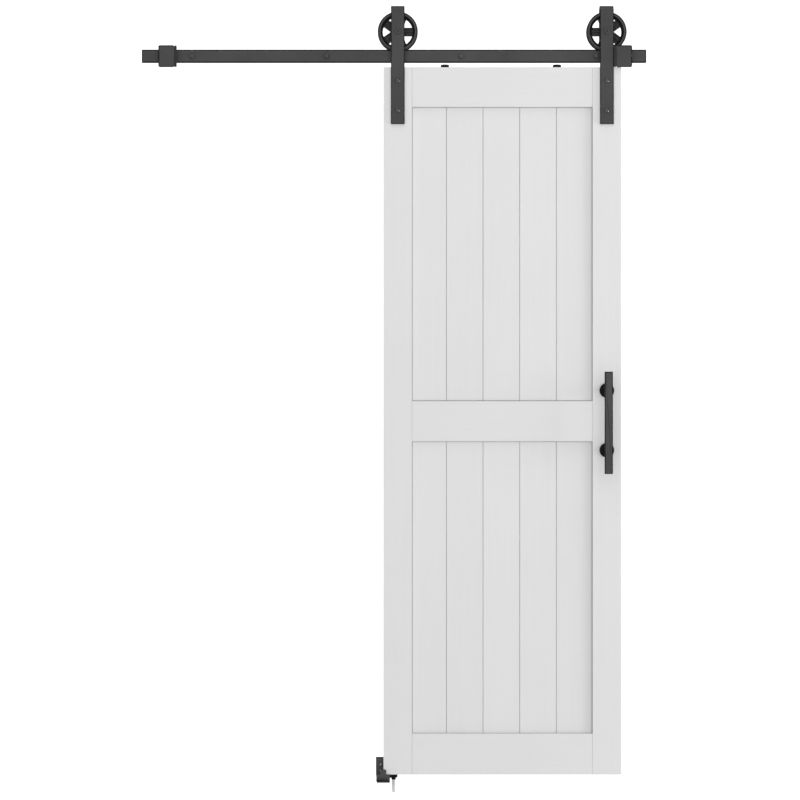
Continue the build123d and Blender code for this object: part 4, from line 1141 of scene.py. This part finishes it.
def spoke():
    """A fifth of the web, from the middle of one window to the middle of the next, and its ribs."""
    half_turn = math.pi / spoke_count
    side = window_side()
    outer = arc(rim_inner_radius + 1.5, half_turn, -half_turn, 8)
    inner = arc(hub_radius - 1.5, -half_turn, half_turn, 4)
    mirrored = [Vector((p.x, -p.y)) for p in side[::-1]]
    outline = side + outer + mirrored + inner
    open_pairs = {len(side) - 1, len(side) + len(outer) - 1, len(outline) - len(inner) - 1, len(outline) - 1}
    shape = bmesh.new()
    shape.faces.layers.float.new("edge")
    shape.faces.layers.float.new("raised")
    low = [shape.verts.new((p.x, p.y, -web_half_thickness)) for p in outline]
    high = [shape.verts.new((p.x, p.y, web_half_thickness)) for p in outline]
    shape.faces.new(low[::-1])
    shape.faces.new(high)
    for k in range(len(outline)):
        after = (k + 1) % len(outline)
        if k not in open_pairs:
            shape.faces.new((low[k], low[after], high[after], high[k]))
    bmesh.ops.recalc_face_normals(shape, faces=shape.faces)
    # The web's faces and the ribs' tops are marked as raised and painted lighter: painted light, with the sides and
    # recesses left dark as painted shade.
    for face in shape.faces:
        face[shape.faces.layers.float["raised"]] = 0.48 * float(abs(face.normal.z) > 0.9)
    for offset in (-1, 0, 1):
        middle = offset * (spoke_half_width - rib_width / 2)
        section = eased(box_outline(middle - rib_width / 2, middle + rib_width / 2,
                                    -rib_half_thickness, rib_half_thickness), 0.9, 3)
        rib = lengthways([(y, z, 0.0) for y, z, _ in section], hub_radius - 2, rim_inner_radius + 1.5)
        raised = rib.faces.layers.float["raised"]
        for face in rib.faces:
            face[raised] = 0.5 * float(abs(face.calc_center_median().z) > rib_half_thickness - 0.4)
        shape = joined(shape, rib)
    return shape


def spokes_tree():
    """Sets copies of one spoke evenly round the axle and welds them into one web."""
    tree = bpy.data.node_groups.new("Spokes round a hub", "GeometryNodeTree")
    sockets = {"Spoke": "NodeSocketGeometry", "Spokes": "NodeSocketInt", "First Turn": "NodeSocketFloat",
               "Weld Distance": "NodeSocketFloat", "Finish": "NodeSocketMaterial"}
    for label, kind in sockets.items():
        tree.interface.new_socket(label, in_out="INPUT", socket_type=kind)
    tree.interface.new_socket("Web", in_out="OUTPUT", socket_type="NodeSocketGeometry")
    given = tree.nodes.new("NodeGroupInput").outputs
    points = add(tree, "GeometryNodeMeshLine", {"Count": given["Spokes"], "Offset": (0, 0, 0)}).outputs[0]
    index = add(tree, "GeometryNodeInputIndex").outputs[0]
    step = calculate(tree, "DIVIDE", 2 * math.pi, given["Spokes"])
    turn = calculate(tree, "ADD", calculate(tree, "MULTIPLY", index, step), given["First Turn"])
    rotation = add(tree, "ShaderNodeCombineXYZ", {2: turn}).outputs[0]
    copies = add(tree, "GeometryNodeInstanceOnPoints",
                 {"Points": points, "Instance": given["Spoke"], "Rotation": rotation}).outputs[0]
    real = add(tree, "GeometryNodeRealizeInstances", {0: copies}).outputs[0]
    welded = add(tree, "GeometryNodeMergeByDistance", {"Geometry": real, "Distance": given["Weld Distance"]})
    dressed = add(tree, "GeometryNodeSetMaterial", {"Geometry": welded.outputs[0], "Material": given["Finish"]})
    tree.links.new(dressed.outputs[0], tree.nodes.new("NodeGroupOutput").inputs[0])
    return tree


wheel_spokes = spokes_tree()
# The wheel's coat is near-black with its marked faces painted lighter: painted light on the proud faces, painted shade
# in the recesses.
wheel_coat = coated_steel("wheel_coat", 0.006, 0.01, 0.6, 0.5, 0.04, 0.078, (650.0, 0.0002))
for label, x, first_turn in (("left", hanger_places[0], 0.0), ("right", hanger_places[1], math.pi)):
    web = through_tree(f"{label}_web", spoke(), wheel_spokes, {
        "Spokes": spoke_count, "First Turn": first_turn, "Weld Distance": 0.01, "Finish": wheel_coat})
    casting = joined(rim(), hub())
    casting.from_mesh(web)
    moved(casting, facing(x, track_middle_y, axle_z))
    piece(f"{label}_cast_wheel", to_mesh(f"{label}_cast_wheel", casting, wheel_coat), f"{label}_roller",
          "black_steel", f"{label}_wheel")


def ground_steel(name, level, roughness):
    """Bare steel turned or plated bright: fine scratches and slight stains."""
    material = bpy.data.materials.new(name)
    material.use_nodes = True
    tree = material.node_tree
    place = add(tree, "ShaderNodeTexCoord").outputs["Object"]
    scratch = add(tree, "ShaderNodeTexNoise", {"Vector": place, "Scale": 2200.0, "Detail": 4.0})
    stain = add(tree, "ShaderNodeTexNoise", {"Vector": place, "Scale": 120.0, "Detail": 5.0})
    shader = tree.nodes["Principled BSDF"]
    mixed = blend_colour(tree, spread(tree, stain.outputs["Fac"], 0.4, 0.75, 0.0, 0.8),
                         (level, level, 1.02 * level, 1), (0.6 * level, 0.6 * level, 0.6 * level, 1))
    tree.links.new(mixed, shader.inputs["Base Color"])
    rough = spread(tree, scratch.outputs["Fac"], 0.3, 0.7, roughness - 0.08, roughness + 0.1)
    tree.links.new(rough, shader.inputs["Roughness"])
    shader.inputs["Metallic"].default_value = 1.0
    bump = add(tree, "ShaderNodeBump", {"Strength": 0.2, "Distance": 0.0001, "Height": scratch.outputs["Fac"]})
    tree.links.new(bump.outputs["Normal"], shader.inputs["Normal"])
    return material


bearing_steel = ground_steel("bearing_steel", 0.42, 0.35)
paint("left_bearing", bearing_steel)
paint("right_bearing", bearing_steel)

# The anti-jump discs. Moulded nylon buttons on the door's top edge, each held by one countersunk
# screw. They reach under the track, so that a knock can't lift the rollers off it.
disc_radius = 12.5
disc_height = 9.3
disc_pitch = 339.0
disc_middle_x = 323.25
disc_sink_radius = 4.85
disc_sink_depth = 2.3
disc_bore = 2.55


def nylon(name, level, roughness=0.5):
    """Moulded plastic with a fine spark-eroded skin and a trace of dust."""
    material = bpy.data.materials.new(name)
    material.use_nodes = True
    tree = material.node_tree
    place = add(tree, "ShaderNodeTexCoord").outputs["Object"]
    skin = add(tree, "ShaderNodeTexNoise", {"Vector": place, "Scale": 1600.0, "Detail": 2.0})
    flow = add(tree, "ShaderNodeTexNoise", {"Vector": place, "Scale": 60.0, "Detail": 3.0})
    paler = min(1.0, 1.15 * level + 0.003)
    shader = tree.nodes["Principled BSDF"]
    shader.inputs["Specular IOR Level"].default_value = 0.08
    mixed = blend_colour(tree, spread(tree, flow.outputs["Fac"], 0.35, 0.7, 0.0, 1.0),
                         (level, level, level, 1), (paler, paler, paler, 1))
    tree.links.new(mixed, shader.inputs["Base Color"])
    rough = spread(tree, skin.outputs["Fac"], 0.3, 0.7, roughness - 0.05, roughness + 0.08)
    tree.links.new(rough, shader.inputs["Roughness"])
    bump = add(tree, "ShaderNodeBump", {"Strength": 0.3, "Distance": 0.0001, "Height": skin.outputs["Fac"]})
    tree.links.new(bump.outputs["Normal"], shader.inputs["Normal"])
    return material


black_nylon = nylon("black_nylon", 0.008)
for label, side in (("left", -1), ("right", 1)):
    outline = [
        (disc_bore, 0.0), (disc_radius, 0.0), (disc_radius, disc_height), (disc_sink_radius, disc_height),
        (disc_bore, disc_height - disc_sink_depth),
    ]
    disc = moved(turned(eased(outline, 0.5, 3), steps=64),
                 Matrix.Translation((disc_middle_x + side * disc_pitch / 2, door_middle_y, door_top)))
    piece(f"{label}_disc", to_mesh(f"{label}_disc", disc, black_nylon), "door", "black_nylon", f"{label}_jump_disc")
paint("jump_disc_screws", fixing_coat)

# The pull. A flat bar stands off the right stile on two turned posts, each through a domed rosette.
# Bolts from behind the door hold the posts. The rosettes are blacker than the bar.
pull_x = 641.6
pull_front = -108.5
pull_back = -102.5
pull_half_width = 12.2
pull_low, pull_high = -1259.6, -954.0
post_radius = 7.0
post_pitch = 180.0
post_middle_z = -1099.8
rosette_radius = 22.0
rosette_rim = 2.5
rosette_dome = 2.5
pull_bolt_radius = 3.0
pull_bolt_reach = -53.0
pull_bolt_head_radius = 6.0
pull_bolt_head_height = 3.2
pull_washer_radius = 9.0
pull_washer_thickness = 1.4
pull_coat = coated_steel("pull_coat", 0.062, 0.004, 0.5, 0.5)
rosette_coat = coated_steel("rosette_coat", 0.009, 0.004, 0.3, 0.45, 0.06)

bar_outline = eased(box_outline(pull_x - pull_half_width, pull_x + pull_half_width, pull_low, pull_high), 1.6, 4)
# The bar's wide rounded border takes the painted dark edge: painted shade along its outline.
piece("pull_bar", to_mesh("pull_bar", upright([bar_outline], pull_front, pull_back, 1.0, 4, 2.6), pull_coat),
      "door", "black_steel", "handle_bar")
post_rows = {"up": (2, post_pitch)}
rosette_top = rosette_rim + rosette_dome
post_length = door_front - pull_back - rosette_top
post = turned(eased([(0.0, 0.0), (post_radius, 0.0), (post_radius, post_length), (0.0, post_length)],
                    0.4, 2, closed=False), closed=False, steps=48)
piece("pull_posts", in_rows("pull_posts", post, (pull_x, door_front - rosette_top, post_middle_z), pull_coat,
                            seed=41, **post_rows),
      "door", "black_steel", "handle_posts")
rosette = [(pull_bolt_radius + 0.25, 0.0, 0.0), (rosette_radius - 0.4, 0.0, 1.0), (rosette_radius, 0.4, 0.0)]
rosette += [point for point in domed(rosette_radius, rosette_dome, rosette_rim, 14) if point[0] > post_radius + 0.6]
rosette += [(post_radius + 0.5, rosette_top, 0.0), (pull_bolt_radius + 0.25, rosette_top, 0.0)]
piece("pull_rosettes", in_rows("pull_rosettes", turned(rosette, steps=72), (pull_x, door_front, post_middle_z),
                               rosette_coat, seed=42, **post_rows),
      "door", "black_steel", "handle_rosettes")
back_bolt = button_bolt(pull_bolt_radius, pull_bolt_head_radius, pull_bolt_head_height, 3.4, 1.6, pull_bolt_reach)
moved(back_bolt, Matrix.Rotation(math.pi, 4, "X"))
piece("pull_bolts", in_rows("pull_bolts", back_bolt, (pull_x, door_back + pull_washer_thickness, post_middle_z),
                            bolt_coat, seed=43, **post_rows),
      "door", "black_steel", "handle_bolts")
pull_washer = washer(pull_bolt_radius + 0.25, pull_washer_radius, -pull_washer_thickness, 0)
piece("pull_washers", in_rows("pull_washers", pull_washer, (pull_x, door_back, post_middle_z), bolt_coat,
                              seed=44, **post_rows),
      "door", "black_steel", "handle_washers")

# The floor guide. A welded steel bracket, screwed to the wall and, through its ear, a collar and a
# plug, to the floor. The door's bottom edge runs between its lip and a nylon pad.
guide_floor = -2188.6
guide_left, guide_right = -53.55, -12.55
guide_sheet = 4.0
guide_front = -74.0
guide_lip_front, guide_lip_back = -56.5, -52.5
guide_back_top = guide_floor + 64.7
guide_block_top = guide_floor + 17.0
guide_foot_top = guide_floor + 21.0
guide_lip_left, guide_lip_right = -41.35, -23.95
guide_lip_top = -2152.8
guide_slot_left = -39.15
guide_slot_low, guide_slot_high = guide_floor + 5.8, guide_floor + 8.4
guide_slot_depth = 2.0
ear_x, ear_y = -1.35, -31.5
ear_half_width = 11.0
ear_round_x = -0.55
ear_thickness = 8.0
guide_ease = 0.6
guide_hole = 2.75
guide_screw_x = -40.05
guide_screw_low, guide_screw_high = -2165.9, -2147.9
guide_screw_head_radius = 4.5
guide_screw_head_height = 2.6
guide_screw_reach = -36.0
collar_radius = 6.75
plug_radius = 4.8
plug_rim = 2.4
plug_straight = 20.0
plug_length = 36.4
plug_tip_radius = 3.8
plug_rings = 5


def guide_lip(left, low):
    """The outline of the foot and the narrow lip above it, from a left end and a height."""
    return eased([
        (left, low), (guide_right, low), (guide_right, guide_foot_top), (guide_lip_right, guide_foot_top),
        (guide_lip_right, guide_lip_top), (guide_lip_left, guide_lip_top), (guide_lip_left, guide_foot_top),
        (left, guide_foot_top),
    ], 2.6, 4)


def guide_body():
    """The bracket's sheets, block and ear as they are welded together."""
    holes = [circle(guide_screw_x, z, guide_hole, 32) for z in (guide_screw_low, guide_screw_high)]
    back = upright([eased(box_outline(guide_left - 1.6, guide_right + 1.2, guide_floor + 8, guide_back_top), 1.5), *holes],
                   -guide_sheet, 0, guide_ease)
    base = plate([eased(box_outline(guide_left + 1.5, guide_right, guide_front, -0.5), 1.5)],
                 guide_floor, guide_floor + guide_sheet, guide_ease)
    block = plate([box_outline(guide_left + 0.2, guide_right - 0.2, guide_lip_back - 0.5, -guide_sheet + 0.5)],
                  guide_floor + 0.5, guide_block_top, guide_ease)
    foot_back = upright([guide_lip(guide_left, guide_floor + 0.5)], guide_lip_front + guide_slot_depth - 0.5,
                        guide_lip_back, guide_ease)
    foot_front = upright([guide_lip(guide_left + 0.3, guide_slot_high)], guide_lip_front,
                         guide_lip_front + guide_slot_depth, guide_ease)
    foot_low = upright([eased(box_outline(guide_left, guide_right, guide_floor + 0.5, guide_slot_low), 0.6)],
                       guide_lip_front, guide_lip_front + guide_slot_depth, 0.5)
    foot_left = upright([eased(box_outline(guide_left, guide_slot_left, guide_floor + 1, guide_slot_high + 2), 0.6)],
                        guide_lip_front, guide_lip_front + guide_slot_depth, 0.5)
    ear = [(guide_right - 1, ear_y - ear_half_width)]
    for step in range(25):
        turn = math.pi * step / 24 - math.pi / 2
        ear.append((ear_round_x + ear_half_width * math.cos(turn), ear_y + ear_half_width * math.sin(turn)))
    ear.append((guide_right - 1, ear_y + ear_half_width))
    ear = plate([ear, circle(ear_x, ear_y, guide_hole, 32)], guide_block_top - ear_thickness, guide_block_top, 0.8)
    # The ear all over and the base's top are painted dark, painted shade under the door; the foot's edges keep little
    # of the painted dark edge.
    for shape in (ear, base, foot_front, foot_low, foot_left):
        edge = shape.faces.layers.float["edge"]
        for part in shape.faces:
            if shape not in (ear, base):
                part[edge] *= 0.2
            elif shape is ear or part.normal.z > 0.99:
                part[edge] = 1.0
    return joined(back, base, block, foot_back, foot_front, foot_low, foot_left, ear)


guide_coat = coated_steel("guide_coat", 0.078, 0.003, 0.25, 0.45, 0.1)
piece("guide_welded", to_mesh("guide_welded", guide_body(), guide_coat), "track", "black_steel", "guide_bracket")
paint("guide_pad", black_nylon)
dull_zinc = ground_steel("dull_zinc", 0.35, 0.4)
wall_screw = button_bolt(2.1, guide_screw_head_radius, guide_screw_head_height, 2.5, 1.3, guide_screw_reach)
piece("guide_wall_bolts",
      in_rows("guide_wall_bolts", wall_screw,
              (guide_screw_x, -guide_sheet, (guide_screw_low + guide_screw_high) / 2), dull_zinc,
              up=(2, guide_screw_high - guide_screw_low), seed=51),
      "track", "bright_steel", "guide_wall_screws")
paint("guide_floor_screw", dull_zinc)
collar = moved(washer(guide_hole, collar_radius, plug_rim, guide_block_top - ear_thickness - guide_floor, 0.5),
               Matrix.Translation((ear_x, ear_y, guide_floor)))
piece("guide_collar", to_mesh("guide_collar", collar, black_nylon), "track", "black_nylon", "guide_floor_collar")
plug = [(0.0, -plug_length, 0.0), (plug_tip_radius - 0.8, -plug_length, 1.0),
        (plug_tip_radius, -plug_length + 0.8, 0.0), (plug_radius, -plug_straight, 0.0)]
for k in range(plug_rings):
    level = -plug_straight + (k + 0.5) * plug_straight / plug_rings
    plug += [(plug_radius, level - 0.9, 1.0), (plug_radius - 0.35, level, 1.0), (plug_radius, level + 0.9, 0.0)]
plug += [(plug_radius, plug_rim - 0.3, 1.0), (plug_radius - 0.3, plug_rim, 0.0), (guide_hole, plug_rim, 0.0),
         (0.0, plug_rim - 0.5, 0.0)]
plug = moved(turned(plug, closed=False, steps=36), Matrix.Translation((ear_x, ear_y, guide_floor)))
plug_plastic = nylon("grey_plug_plastic", 0.56, 0.45)
piece("floor_plug", to_mesh("floor_plug", plug, plug_plastic), "track", "grey_plug_plastic", "guide_floor_plug")
